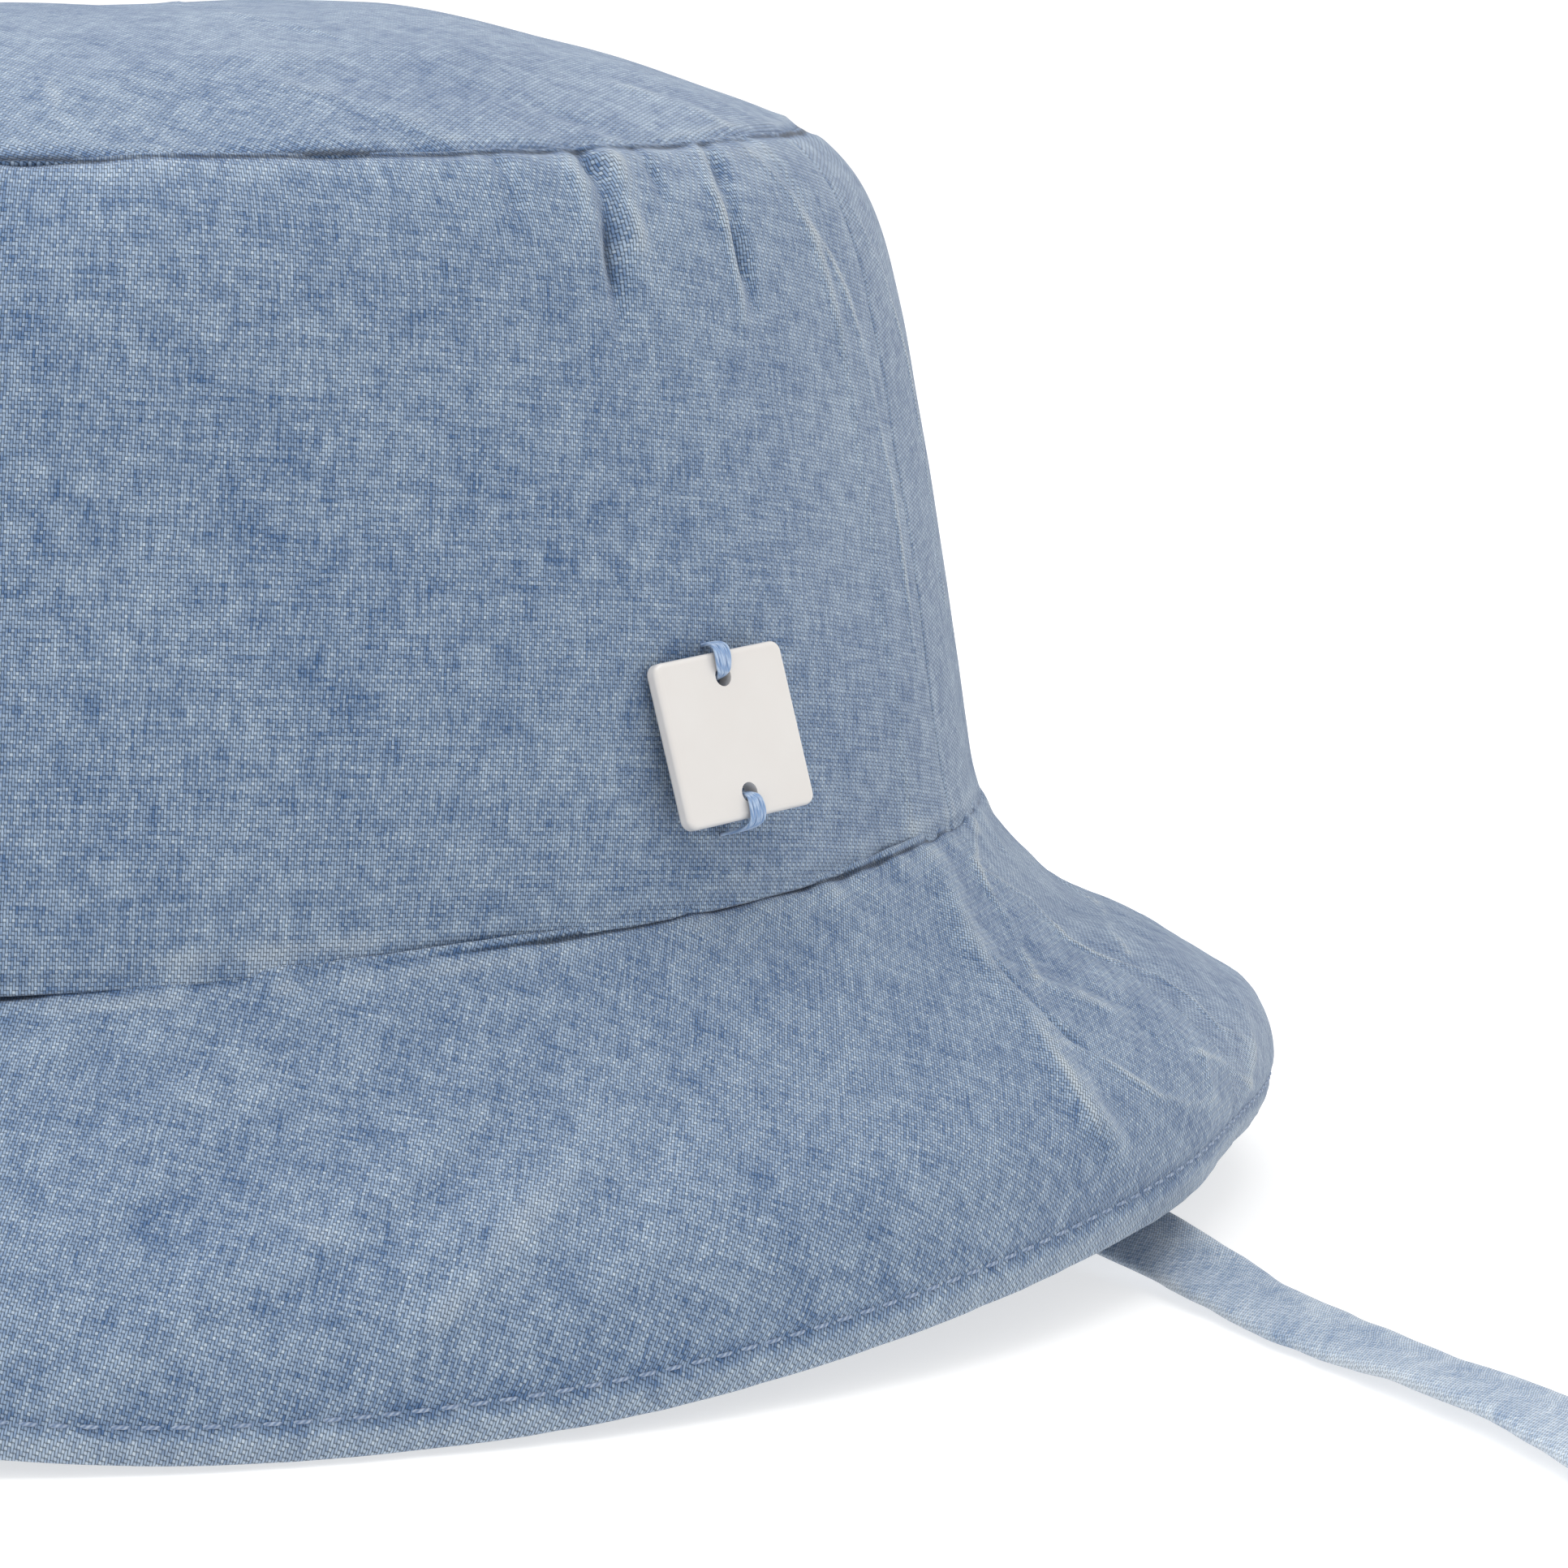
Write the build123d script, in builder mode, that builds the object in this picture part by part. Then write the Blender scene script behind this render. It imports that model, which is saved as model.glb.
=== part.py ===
from build123d import *
import os
from math import cos, hypot, pi, radians, sin, tan

# A baby's bucket hat standing on its brim.
# The table is Z = 0, the wearer's front is -Y and the wearer's left is +X.
# An azimuth is measured from the front towards the wearer's left, in degrees.

# ---- Crown -------------------------------------------------------------------
HEAD_RADIUS = 76.4            # outside of the band at the head opening, a 48 cm head
HEAD_SEAM_HEIGHT = 30.4       # head seam above the table, front and back
HEAD_SEAM_RISE = 3.3          # how much higher the head seam stands at the sides
TIP_SEAM_HEIGHT = 90.1        # seam between the band and the round tip
BAND_TAPER = 8.8              # how much narrower the band is at the tip seam
BAND_TAPER_POWER = 1.4
SHOULDER_DROP = 5.6           # extra pull-in of the rounded shoulder under the tip seam
SHOULDER_POWER = 12
TIP_RISE = 12.0               # height of the tip's crowned middle over its seam
TIP_POWER = 2.6
TIP_SEAM_GAP = 0.5            # room between the tip's edge and the band's top edge

# ---- Brim --------------------------------------------------------------------
BRIM_RADIUS = 98.2            # outer edge, front and back
BRIM_RADIUS_GAIN = 3.8        # how much wider the brim is at the sides
BRIM_EDGE_HEIGHT = 0.45       # top of the edge above the table, front and back
BRIM_EDGE_RISE = 6.6          # how much higher the edge stands at the sides
BRIM_BULGE = 3.2              # how far the brim bows outwards, front and back
BRIM_BULGE_GAIN = 1.6         # how much more it bows at the sides
BRIM_BULGE_POWER = 2.1        # over 1, so that the bow is strongest near the edge
BRIM_START_OUT = 0.6          # the brim's inner edge lies just outside the band
BRIM_START_DOWN = 0.45
STITCH_INSET = 0.945          # where the edge topstitching runs, as a share of the width
STITCH_HALF_WIDTH = 0.005
STITCH_THICKNESS = 0.35
STITCH_CLEARANCE = 0.05

# ---- Cloth layers, as depths under the outer surface ---------------------------
OUTER_CLOTH = 0.8
ALLOWANCE_DEPTH = 0.95
ALLOWANCE_CLOTH = 0.55
LINING_DEPTH = 1.7
LINING_CLOTH = 0.5
TAPE_DEPTH = 2.4
TAPE_CLOTH = 0.6
LABEL_DEPTH = 3.2
LABEL_CLOTH = 0.5
BRIM_CLOTH = 0.7
INTERLINING_DEPTH = 0.85
INTERLINING_CLOTH = 0.5
INTERLINING_SHARES = (0.02, 0.96)
UNDER_DEPTH = 1.5

# ---- Small pieces --------------------------------------------------------------
SIDE_ALLOWANCE_HALF_ANGLE = 7.0
ALLOWANCE_SHARES = (0.03, 0.84)   # where a side allowance starts and ends on the band
TIP_ALLOWANCE_SHARE = 0.87    # where the tip's folded allowance ends, as a share of its radius
LINING_TIP_SHARE = 0.985      # the lining's tip is cut a little smaller than the outer one
TAPE_BELOW_SEAM = 5.0         # how far the seam tape hangs under the head seam
TAPE_TOP = 0.07               # where the tape ends, as a share of the band's height
LABEL_HALF_ANGLE = 8.0
LABEL_START = 0.5             # where the label starts, as a share of the tape's hang below the seam
LABEL_TOP = 0.27

# ---- Tag -----------------------------------------------------------------------
TAG_SIZE = 13.0
TAG_THICKNESS = 1.4
TAG_CORNER = 0.9
TAG_EDGE_ROUND = 0.45
TAG_HOLE_RADIUS = 0.78
TAG_HOLE_SPACING = 9.1
TAG_AZIMUTH = 62.7
TAG_HEIGHT = 45.7
TAG_STANDOFF = 2.2            # from the band's surface to the middle of the tag
TAG_FACING = 58.0             # azimuth that the tag's face looks towards
TAG_TILT = 15.0               # how far it looks up
TAG_ROLL = 4.0                # its lower edge is turned towards the wearer's back
THREAD_RADIUS = 0.4
THREAD_CLEARANCE = 0.3
THREAD_BEND = 0.6
THREAD_ROOT = 2.55            # how far behind the tag's middle the threads enter the cloth
THREAD_ROOT_OUT = 0.4         # each thread enters the cloth this much further from the tag's edge
THREAD_ROOT_LEAN = 0.65       # the tilted tag's top is nearer the cloth by this much

# ---- Tie -----------------------------------------------------------------------
TIE_WIDTH = 7.0
TIE_THICKNESS = 1.6
TIE_CORNER = 0.727            # rounding of the strip's folded edges
TIE_BEND_SHARE = 0.45         # each bend's tangent length as a share of its shorter run
TIE_START_ROLL = -12.0        # turns the strip so that it lies flat once it is on the table
TIE_ROUTE = (
    (73.8, -3.0, 29.4),
    (76.5, -5.0, 17.0),
    (82.5, -6.5, 8.2),
    (91.0, -8.5, 3.8),
    (100.0, -15.5, 2.3),
    (109.0, -26.5, 1.4),
    (118.0, -36.0, 1.4),
    (127.5, -45.4, 1.8),
    (135.5, -54.5, 2.2),
    (144.0, -67.0, 1.8),
    (158.5, -72.0, 1.4),
    (173.0, -67.0, 1.6),
    (183.5, -55.0, 1.4),
    (187.5, -39.5, 1.5),
    (183.5, -24.5, 1.4),
    (175.0, -13.5, 1.5),
)

SECTION_STEP = 15.0           # spacing of the radial sections that shape each panel
PROFILE_POINTS = 10


def side_share(azimuth):
    """0 at front and back, 1 at the sides."""
    return sin(radians(azimuth)) ** 2


def head_seam_height(azimuth):
    """Height of the head seam, which rises towards the sides."""
    return HEAD_SEAM_HEIGHT + HEAD_SEAM_RISE * side_share(azimuth)


def band_point(azimuth, share):
    """Point of the band's outer surface; share is 0 at the head seam, 1 at the tip seam."""
    base = head_seam_height(azimuth)
    taper = BAND_TAPER * abs(share) ** BAND_TAPER_POWER
    shoulder = SHOULDER_DROP * abs(share) ** SHOULDER_POWER
    if share < 0:
        taper = 0
    return (HEAD_RADIUS - taper - shoulder, base + share * (TIP_SEAM_HEIGHT - base))


def brim_point(azimuth, share):
    """Point of the brim's upper surface; share is 0 at the head seam, 1 at the edge."""
    start_r = HEAD_RADIUS + BRIM_START_OUT
    start_z = head_seam_height(azimuth) - BRIM_START_DOWN
    end_r = BRIM_RADIUS + BRIM_RADIUS_GAIN * side_share(azimuth)
    end_z = BRIM_EDGE_HEIGHT + BRIM_EDGE_RISE * side_share(azimuth) ** 2
    run_r = end_r - start_r
    run_z = end_z - start_z
    length = hypot(run_r, run_z)
    bulge = BRIM_BULGE + BRIM_BULGE_GAIN * side_share(azimuth)
    bow = bulge * sin(pi * share ** BRIM_BULGE_POWER)
    return (
        start_r + run_r * share - bow * run_z / length,
        start_z + run_z * share + bow * run_r / length,
    )


def profile(surface, azimuth, first, last, bunched=1.0):
    """Points along a surface from share first to share last, closer together near last."""
    shares = [1 - (1 - i / (PROFILE_POINTS - 1)) ** bunched for i in range(PROFILE_POINTS)]
    return [surface(azimuth, first + (last - first) * share) for share in shares]


def sunk(points, depth):
    """The same profile moved by depth towards the inside of the hat."""
    moved = []
    for i, (r, z) in enumerate(points):
        before = points[max(i - 1, 0)]
        after = points[min(i + 1, len(points) - 1)]
        along_r = after[0] - before[0]
        along_z = after[1] - before[1]
        shift = depth / hypot(along_r, along_z)
        if along_z < 0:
            shift = -shift
        moved.append((r - shift * along_z, z + shift * along_r))
    return moved


def radial_plane(azimuth):
    """Upright plane through the hat's axis, with X outwards and Y up."""
    a = radians(azimuth)
    return Plane(origin=(0, 0, 0), x_dir=(sin(a), -cos(a), 0), z_dir=(-cos(a), -sin(a), 0))


def cloth_panel(surface, azimuths, shares, depth, thickness, bunched=1.0):
    """A panel of cloth between two azimuths, lofted through its radial sections."""
    first, last = azimuths
    steps = max(2, round((last - first) / SECTION_STEP))
    with BuildPart() as panel:
        for step in range(steps + 1):
            azimuth = first + (last - first) * step / steps
            points = profile(surface, azimuth, *shares, bunched)
            with BuildSketch(radial_plane(azimuth)):
                with BuildLine():
                    outside = Spline(*sunk(points, depth))
                    inside = Spline(*sunk(points, depth + thickness))
                    Line(outside @ 0, inside @ 0)
                    Line(outside @ 1, inside @ 1)
                make_face()
        loft()
    return panel


def tip_point(share):
    """Point of the tip's outer surface; share is 0 in the middle, 1 at the seam."""
    edge_r = HEAD_RADIUS - BAND_TAPER - SHOULDER_DROP - TIP_SEAM_GAP
    return (edge_r * share, TIP_SEAM_HEIGHT + TIP_RISE * (1 - share ** TIP_POWER))


def tip_panel(first, last, depth, thickness):
    """A round dome, or a ring of it when first is over 0, turned about the hat's axis."""
    shares = [first + (last - first) * i / (PROFILE_POINTS - 1) for i in range(PROFILE_POINTS)]
    points = [tip_point(share) for share in shares]
    outer = [(r, z - depth) for r, z in points]
    inner = [(r, z - depth - thickness) for r, z in points]
    with BuildPart() as dome:
        with BuildSketch(Plane.XZ):
            with BuildLine():
                outside = Spline(*outer)
                inside = Spline(*inner)
                Line(outside @ 0, inside @ 0)
                Line(outside @ 1, inside @ 1)
            make_face()
        revolve(axis=Axis.Z)
    return dome


def finish(piece, name):
    """Label a piece and write it."""
    piece.part.label = name
    export_step(piece.part, f"parts/{name}.step")


os.makedirs("parts", exist_ok=True)

FRONT = (-90, 90)
BACK = (90, 270)
ROUND = (-179.6, 179.6)       # a strip that goes all round, with its ends meeting at the back

# ---- Crown: tip, band and their linings -----------------------------------------
crown_tip = tip_panel(0, 1, 0, OUTER_CLOTH)
lining_tip = tip_panel(0, LINING_TIP_SHARE, LINING_DEPTH, LINING_CLOTH)
tip_seam_allowance = tip_panel(
    TIP_ALLOWANCE_SHARE, LINING_TIP_SHARE, ALLOWANCE_DEPTH, ALLOWANCE_CLOTH
)

crown_band_front = cloth_panel(band_point, FRONT, (0, 1), 0, OUTER_CLOTH, bunched=1.8)
crown_band_back = cloth_panel(band_point, BACK, (0, 1), 0, OUTER_CLOTH, bunched=1.8)
lining_band_front = cloth_panel(band_point, FRONT, (0, 1), LINING_DEPTH, LINING_CLOTH, bunched=1.8)
lining_band_back = cloth_panel(band_point, BACK, (0, 1), LINING_DEPTH, LINING_CLOTH, bunched=1.8)

# ---- Folded seam allowances behind the side seams ---------------------------------
left_azimuths = (90 - SIDE_ALLOWANCE_HALF_ANGLE, 90 + SIDE_ALLOWANCE_HALF_ANGLE)
right_azimuths = (270 - SIDE_ALLOWANCE_HALF_ANGLE, 270 + SIDE_ALLOWANCE_HALF_ANGLE)
side_seam_allowance_left = cloth_panel(
    band_point, left_azimuths, ALLOWANCE_SHARES, ALLOWANCE_DEPTH, ALLOWANCE_CLOTH
)
side_seam_allowance_right = cloth_panel(
    band_point, right_azimuths, ALLOWANCE_SHARES, ALLOWANCE_DEPTH, ALLOWANCE_CLOTH
)

# ---- Brim: two plies with a stiffener between them ---------------------------------
brim_upper_front = cloth_panel(brim_point, FRONT, (0, 1), 0, BRIM_CLOTH)
brim_upper_back = cloth_panel(brim_point, BACK, (0, 1), 0, BRIM_CLOTH)
brim_interlining_front = cloth_panel(
    brim_point, FRONT, INTERLINING_SHARES, INTERLINING_DEPTH, INTERLINING_CLOTH
)
brim_interlining_back = cloth_panel(
    brim_point, BACK, INTERLINING_SHARES, INTERLINING_DEPTH, INTERLINING_CLOTH
)
brim_under_front = cloth_panel(brim_point, FRONT, (0, 1), UNDER_DEPTH, BRIM_CLOTH)
brim_under_back = cloth_panel(brim_point, BACK, (0, 1), UNDER_DEPTH, BRIM_CLOTH)
brim_edge_stitching = cloth_panel(
    brim_point,
    ROUND,
    (STITCH_INSET - STITCH_HALF_WIDTH, STITCH_INSET + STITCH_HALF_WIDTH),
    -STITCH_THICKNESS - STITCH_CLEARANCE,
    STITCH_THICKNESS,
)

# ---- Head opening: seam tape and the blank label at the back -------------------------
tape_bottom = -TAPE_BELOW_SEAM / (TIP_SEAM_HEIGHT - HEAD_SEAM_HEIGHT)
head_seam_tape = cloth_panel(band_point, ROUND, (tape_bottom, TAPE_TOP), TAPE_DEPTH, TAPE_CLOTH)
size_label = cloth_panel(
    band_point,
    (180 - LABEL_HALF_ANGLE, 180 + LABEL_HALF_ANGLE),
    (LABEL_START * tape_bottom, LABEL_TOP),
    LABEL_DEPTH,
    LABEL_CLOTH,
)

# ---- Tag: a glazed square with two holes, on a plane of its own -----------------------
face = radians(TAG_FACING)
tilt = radians(TAG_TILT)
roll = radians(TAG_ROLL)
tag_normal = Vector(cos(tilt) * sin(face), -cos(tilt) * cos(face), sin(tilt))
tag_level = Vector(cos(face), sin(face), 0)
tag_up = tag_normal.cross(tag_level)
tag_across = tag_level * cos(roll) + tag_up * sin(roll)
share_at_tag = (TAG_HEIGHT - head_seam_height(TAG_AZIMUTH)) / (
    TIP_SEAM_HEIGHT - head_seam_height(TAG_AZIMUTH)
)
tag_r = band_point(TAG_AZIMUTH, share_at_tag)[0] + TAG_STANDOFF
tag_centre = Vector(
    tag_r * sin(radians(TAG_AZIMUTH)), -tag_r * cos(radians(TAG_AZIMUTH)), TAG_HEIGHT
)
tag_plane = Plane(origin=tag_centre, x_dir=tag_across, z_dir=tag_normal)

with BuildPart() as tag:
    with BuildSketch(tag_plane):
        RectangleRounded(TAG_SIZE, TAG_SIZE, TAG_CORNER)
    extrude(amount=TAG_THICKNESS / 2, both=True)
    top_and_bottom = tag.faces().sort_by(Axis(tag_centre, tag_normal))
    fillet(top_and_bottom[0].edges() + top_and_bottom[-1].edges(), TAG_EDGE_ROUND)
    with BuildSketch(tag_plane):
        with GridLocations(0, TAG_HOLE_SPACING, 1, 2):
            Circle(TAG_HOLE_RADIUS)
    extrude(amount=TAG_THICKNESS, both=True, mode=Mode.SUBTRACT)


def tag_thread(side):
    """A loop of thread: out of the cloth beyond the tag's edge, over it and into the hole.

    side is 1 for the upper loop and -1 for the lower one.
    """
    clear = THREAD_RADIUS + THREAD_CLEARANCE
    front = TAG_THICKNESS / 2 + clear
    beyond = TAG_SIZE / 2 + clear
    hole = TAG_HOLE_SPACING / 2
    cloth = side * THREAD_ROOT_LEAN - THREAD_ROOT
    route = [(beyond + THREAD_ROOT_OUT, cloth), (beyond, front), (hole, front), (hole, cloth)]
    points = [tag_plane.from_local_coords(Vector(0, side * along, out)) for along, out in route]
    with BuildPart() as loop:
        with BuildLine() as path:
            FilletPolyline(*points, radius=THREAD_BEND)
        with BuildSketch(Plane(origin=path.line @ 0, z_dir=path.line % 0)):
            Circle(THREAD_RADIUS)
        sweep()
    return loop


tag_thread_upper = tag_thread(1)
tag_thread_lower = tag_thread(-1)

# ---- Tie: a flat strip from the left side seam, out under the brim and along the table ---
tie_points = [Vector(*point) for point in TIE_ROUTE]
tie_runs = [after - before for before, after in zip(tie_points, tie_points[1:])]
tie_radii = []
for before, after in zip(tie_runs, tie_runs[1:]):
    turn = radians(before.get_angle(after))
    tie_radii.append(TIE_BEND_SHARE * min(before.length, after.length) / tan(turn / 2))

with BuildPart() as tie_left:
    with BuildLine() as tie_path:
        FilletPolyline(*tie_points, radius=tie_radii)
    start = tie_path.line % 0
    level = Vector(0, 0, 1).cross(start)
    with BuildSketch(Plane(origin=tie_path.line @ 0, x_dir=level, z_dir=start)):
        RectangleRounded(TIE_WIDTH, TIE_THICKNESS, TIE_CORNER, rotation=TIE_START_ROLL)
    sweep()

PIECES = {
    "crown_tip": crown_tip,
    "crown_band_front": crown_band_front,
    "crown_band_back": crown_band_back,
    "lining_tip": lining_tip,
    "lining_band_front": lining_band_front,
    "lining_band_back": lining_band_back,
    "tip_seam_allowance": tip_seam_allowance,
    "side_seam_allowance_left": side_seam_allowance_left,
    "side_seam_allowance_right": side_seam_allowance_right,
    "brim_upper_front": brim_upper_front,
    "brim_upper_back": brim_upper_back,
    "brim_interlining_front": brim_interlining_front,
    "brim_interlining_back": brim_interlining_back,
    "brim_under_front": brim_under_front,
    "brim_under_back": brim_under_back,
    "brim_edge_stitching": brim_edge_stitching,
    "head_seam_tape": head_seam_tape,
    "size_label": size_label,
    "tag": tag,
    "tag_thread_upper": tag_thread_upper,
    "tag_thread_lower": tag_thread_lower,
    "tie_left": tie_left,
}
for piece_name, piece in PIECES.items():
    finish(piece, piece_name)

tie_length = sum(edge.length for edge in tie_path.edges())
tie_section = tie_left.faces().sort_by(Axis.Z)[-1].area
print("tie bend radii, mm:", [round(radius, 1) for radius in tie_radii])
print("tie length, mm:", round(tie_length, 1))
print("tie volume over section times length:", round(tie_left.part.volume / (tie_section * tie_length), 3))
print("tie lowest point, mm:", round(tie_left.part.bounding_box().min.Z, 3))
print("hat lowest point, mm:", round(brim_under_front.part.bounding_box().min.Z, 3))
print("tag rock axis through", tag_plane.origin, "along", tag_plane.y_dir)
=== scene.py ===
"""Bucket hat of washed cotton twill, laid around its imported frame: cloth, seams, tag, tie, light."""
import logging
import math
from abc import ABC, abstractmethod
from dataclasses import dataclass, field
from enum import Enum

import bpy
import numpy as np
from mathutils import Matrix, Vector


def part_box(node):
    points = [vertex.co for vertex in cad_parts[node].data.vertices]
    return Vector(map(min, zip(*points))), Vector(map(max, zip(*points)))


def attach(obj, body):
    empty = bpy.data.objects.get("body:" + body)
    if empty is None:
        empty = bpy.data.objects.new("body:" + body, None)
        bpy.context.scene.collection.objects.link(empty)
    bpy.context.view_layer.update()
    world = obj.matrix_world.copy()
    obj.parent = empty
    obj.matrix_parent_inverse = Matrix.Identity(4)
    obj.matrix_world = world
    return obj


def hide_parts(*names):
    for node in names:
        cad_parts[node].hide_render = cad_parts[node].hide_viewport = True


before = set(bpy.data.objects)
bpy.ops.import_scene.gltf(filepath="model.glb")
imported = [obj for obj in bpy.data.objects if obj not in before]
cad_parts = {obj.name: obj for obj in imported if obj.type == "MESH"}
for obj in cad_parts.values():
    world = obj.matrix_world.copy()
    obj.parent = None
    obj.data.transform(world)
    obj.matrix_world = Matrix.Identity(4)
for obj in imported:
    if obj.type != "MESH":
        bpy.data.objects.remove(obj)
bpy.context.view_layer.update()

MM = 0.001
TURN = 2 * math.pi
CLOTH_UV = "Cloth"
# point attribute with each point's wear; its values below 0, in valleys and sewn grooves, are painted shade
WEAR_AND_SHADE = "wear"
log = logging.getLogger("bucket_hat")

Grid = np.ndarray
Colour = tuple[float, float, float, float]


# ---- Small helpers ------------------------------------------------------------------------


def linear(code: str) -> Colour:
    """Turn an sRGB colour into linear light.

    Args:
        code: The colour as six hex digits after a hash.

    Returns:
        Red, green, blue and full cover, each from 0 to 1.
    """
    parts = [int(code[i:i + 2], 16) / 255 for i in (1, 3, 5)]
    red, green, blue = [c / 12.92 if c <= 0.04045 else ((c + 0.055) / 1.055) ** 2.4 for c in parts]
    return red, green, blue, 1.0


def feed(tree: bpy.types.NodeTree, node: bpy.types.Node, feeds: dict) -> None:
    """Link or set a node's inputs.

    Args:
        tree: The node tree.
        node: The node.
        feeds: What goes into each input, by name or number: a socket, a node's first output, or a value.
    """
    for name, value in feeds.items():
        if isinstance(value, bpy.types.Node):
            value = value.outputs[0]
        if isinstance(value, bpy.types.NodeSocket):
            tree.links.new(value, node.inputs[name])
        else:
            node.inputs[name].default_value = value


def add(tree: bpy.types.NodeTree, kind: str, feeds: dict | None = None, **settings) -> bpy.types.Node:
    """Add a node with its settings and links.

    Args:
        tree: The node tree.
        kind: The node's type name.
        feeds: What goes into its inputs, as feed takes it.
        settings: The node's own properties.

    Returns:
        The new node.
    """
    node = tree.nodes.new(kind)
    for name, value in settings.items():
        setattr(node, name, value)
    feed(tree, node, feeds or {})
    return node


def blank_material(name: str) -> tuple[bpy.types.Material, bpy.types.NodeTree, bpy.types.Node]:
    """Make a material with nodes, and hand over it, its nodes and its shader."""
    material = bpy.data.materials.new(name)
    material.use_nodes = True
    return material, material.node_tree, material.node_tree.nodes["Principled BSDF"]


def ease(start: float, end: float, value: Grid) -> Grid:
    """Smooth step: 0 before start, 1 after end, and 3x^2 - 2x^3 between them."""
    x = np.clip((value - start) / (end - start), 0, 1)
    return x * x * (3 - 2 * x)


def ridge(distance: Grid, width: float) -> Grid:
    """Bell curve exp(-(distance / width)^2), 1 on the line itself."""
    return np.exp(-((distance / width) ** 2))


def turned_from(azimuth: Grid, middle: float) -> Grid:
    """Azimuth measured from middle, both in radians, brought to between -pi and pi."""
    return (azimuth - middle + math.pi) % TURN - math.pi


def patchwork(across: Grid, along: Grid, cells: int, seed: int) -> Grid:
    """Smooth value noise that repeats round the hat.

    Random values stand on a grid of whole numbers, and each point takes the smooth-stepped
    blend of the four around it.

    Args:
        across: Position round the hat, in cells.
        along: Position across the panel, in cells.
        cells: Number of cells after which across repeats.
        seed: Seed of the random values.

    Returns:
        Noise from -1 to 1.
    """
    rows = 64
    table = np.random.default_rng(seed).uniform(-1, 1, (cells, rows))
    i, j = np.floor(across).astype(int), np.floor(along).astype(int)
    x, y = ease(0, 1, across - i), ease(0, 1, along - j)
    low = table[i % cells, j % rows] * (1 - x) + table[(i + 1) % cells, j % rows] * x
    high = table[i % cells, (j + 1) % rows] * (1 - x) + table[(i + 1) % cells, (j + 1) % rows] * x
    return low * (1 - y) + high * y


def layered(across: Grid, along: Grid, cells: int, seed: int) -> Grid:
    """Two octaves of patchwork: the second is twice as fine and 0.45 times as strong."""
    fine = patchwork(across * 2, along * 2, cells * 2, seed + 1)
    return patchwork(across, along, cells, seed) + 0.45 * fine


def smooth_line(knots: Grid, values: Grid, places: Grid) -> Grid:
    """Blend values smoothly through their knots.

    Between two knots the value is a cubic with the slopes that the neighbouring knots give.

    Args:
        knots: Rising places of the values.
        values: One row a knot.
        places: Where the line is wanted.

    Returns:
        One row a place.
    """
    slopes = np.gradient(values, knots, axis=0)
    i = np.clip(np.searchsorted(knots, places, side="right") - 1, 0, len(knots) - 2)
    gap = (knots[i + 1] - knots[i])[:, None]
    t = (places - knots[i])[:, None] / gap
    start = (2 * t ** 3 - 3 * t ** 2 + 1) * values[i] + (t ** 3 - 2 * t ** 2 + t) * gap * slopes[i]
    end = (3 * t ** 2 - 2 * t ** 3) * values[i + 1] + (t ** 3 - t ** 2) * gap * slopes[i + 1]
    return start + end


# ---- Shape of the sewn hat ----------------------------------------------------------------


@dataclass(frozen=True)
class HatForm:
    """Sizes of the sewn hat, in metres, that its three surfaces are worked out from."""

    head_radius: float
    head_seam: float
    tip_seam: float
    top: float
    seam_rise: float = 3.3 * MM
    taper: float = 8.8 * MM
    taper_power: float = 1.4
    shoulder: float = 5.6 * MM
    shoulder_power: float = 12.0
    tip_gap: float = 0.5 * MM
    tip_power: float = 2.6
    brim_radius: float = 98.2 * MM
    brim_gain: float = 3.8 * MM
    edge_height: float = 0.6 * MM
    edge_rise: float = 6.6 * MM
    bulge: float = 3.2 * MM
    bulge_gain: float = 1.6 * MM
    bulge_power: float = 2.1
    start_out: float = 0.6 * MM
    start_down: float = 0.45 * MM
    # spans where the head seam is pressed less, at the left rear and the front left: azimuth and
    # reach in degrees, and the share of its depth that is lost
    seam_fades: tuple[tuple[float, float, float], ...] = ((116, 22, 0.85), (34, 8, 0.9))

    @classmethod
    def from_frame(cls) -> "HatForm":
        """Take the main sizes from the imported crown's boxes."""
        low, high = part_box("crown_band_front")
        return cls(high.x, low.z, high.z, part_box("crown_tip")[1].z)

    def sideways(self, azimuth: Grid) -> Grid:
        """Squared sine of the azimuth: 0 at front and back, 1 at the sides."""
        return np.sin(azimuth) ** 2

    def seam_height(self, azimuth: Grid) -> Grid:
        """Height of the head seam, which is higher at the sides."""
        return self.head_seam + self.seam_rise * self.sideways(azimuth)

    def seam_depth(self, azimuth: Grid) -> Grid:
        """How sharply the head seam is pressed: 1 all round, less at each of the seam's faded spans."""
        depth = np.ones(azimuth.shape)
        for middle, reach, fade in self.seam_fades:
            depth = depth - fade * ridge(turned_from(azimuth, math.radians(middle)), math.radians(reach))
        return depth

    @property
    def tip_radius(self) -> float:
        """Radius of the tip at its seam."""
        return self.head_radius - self.taper - self.shoulder - self.tip_gap


@dataclass(frozen=True)
class Crease:
    """A crease along a line of (azimuth in degrees, share) points.

    Height and width are in metres, and a negative height is a valley. Wear is what the crease
    adds to the cloth's paleness, from -1 to 1: above 0 it is worn cloth along a ridge, and below 0
    it is painted shade darkening a valley.
    """

    line: tuple[tuple[float, float], ...]
    height: float
    width: float
    wear: float = 0.0


@dataclass(frozen=True)
class Bend:
    """A slow bend of the cloth: lifts in millimetres at some shares, strongest at one azimuth.

    The azimuth, and the reach over which the bend fades, are in degrees.
    """

    azimuth: float
    reach: float
    shares: tuple[float, ...]
    lifts: tuple[float, ...]


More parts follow.
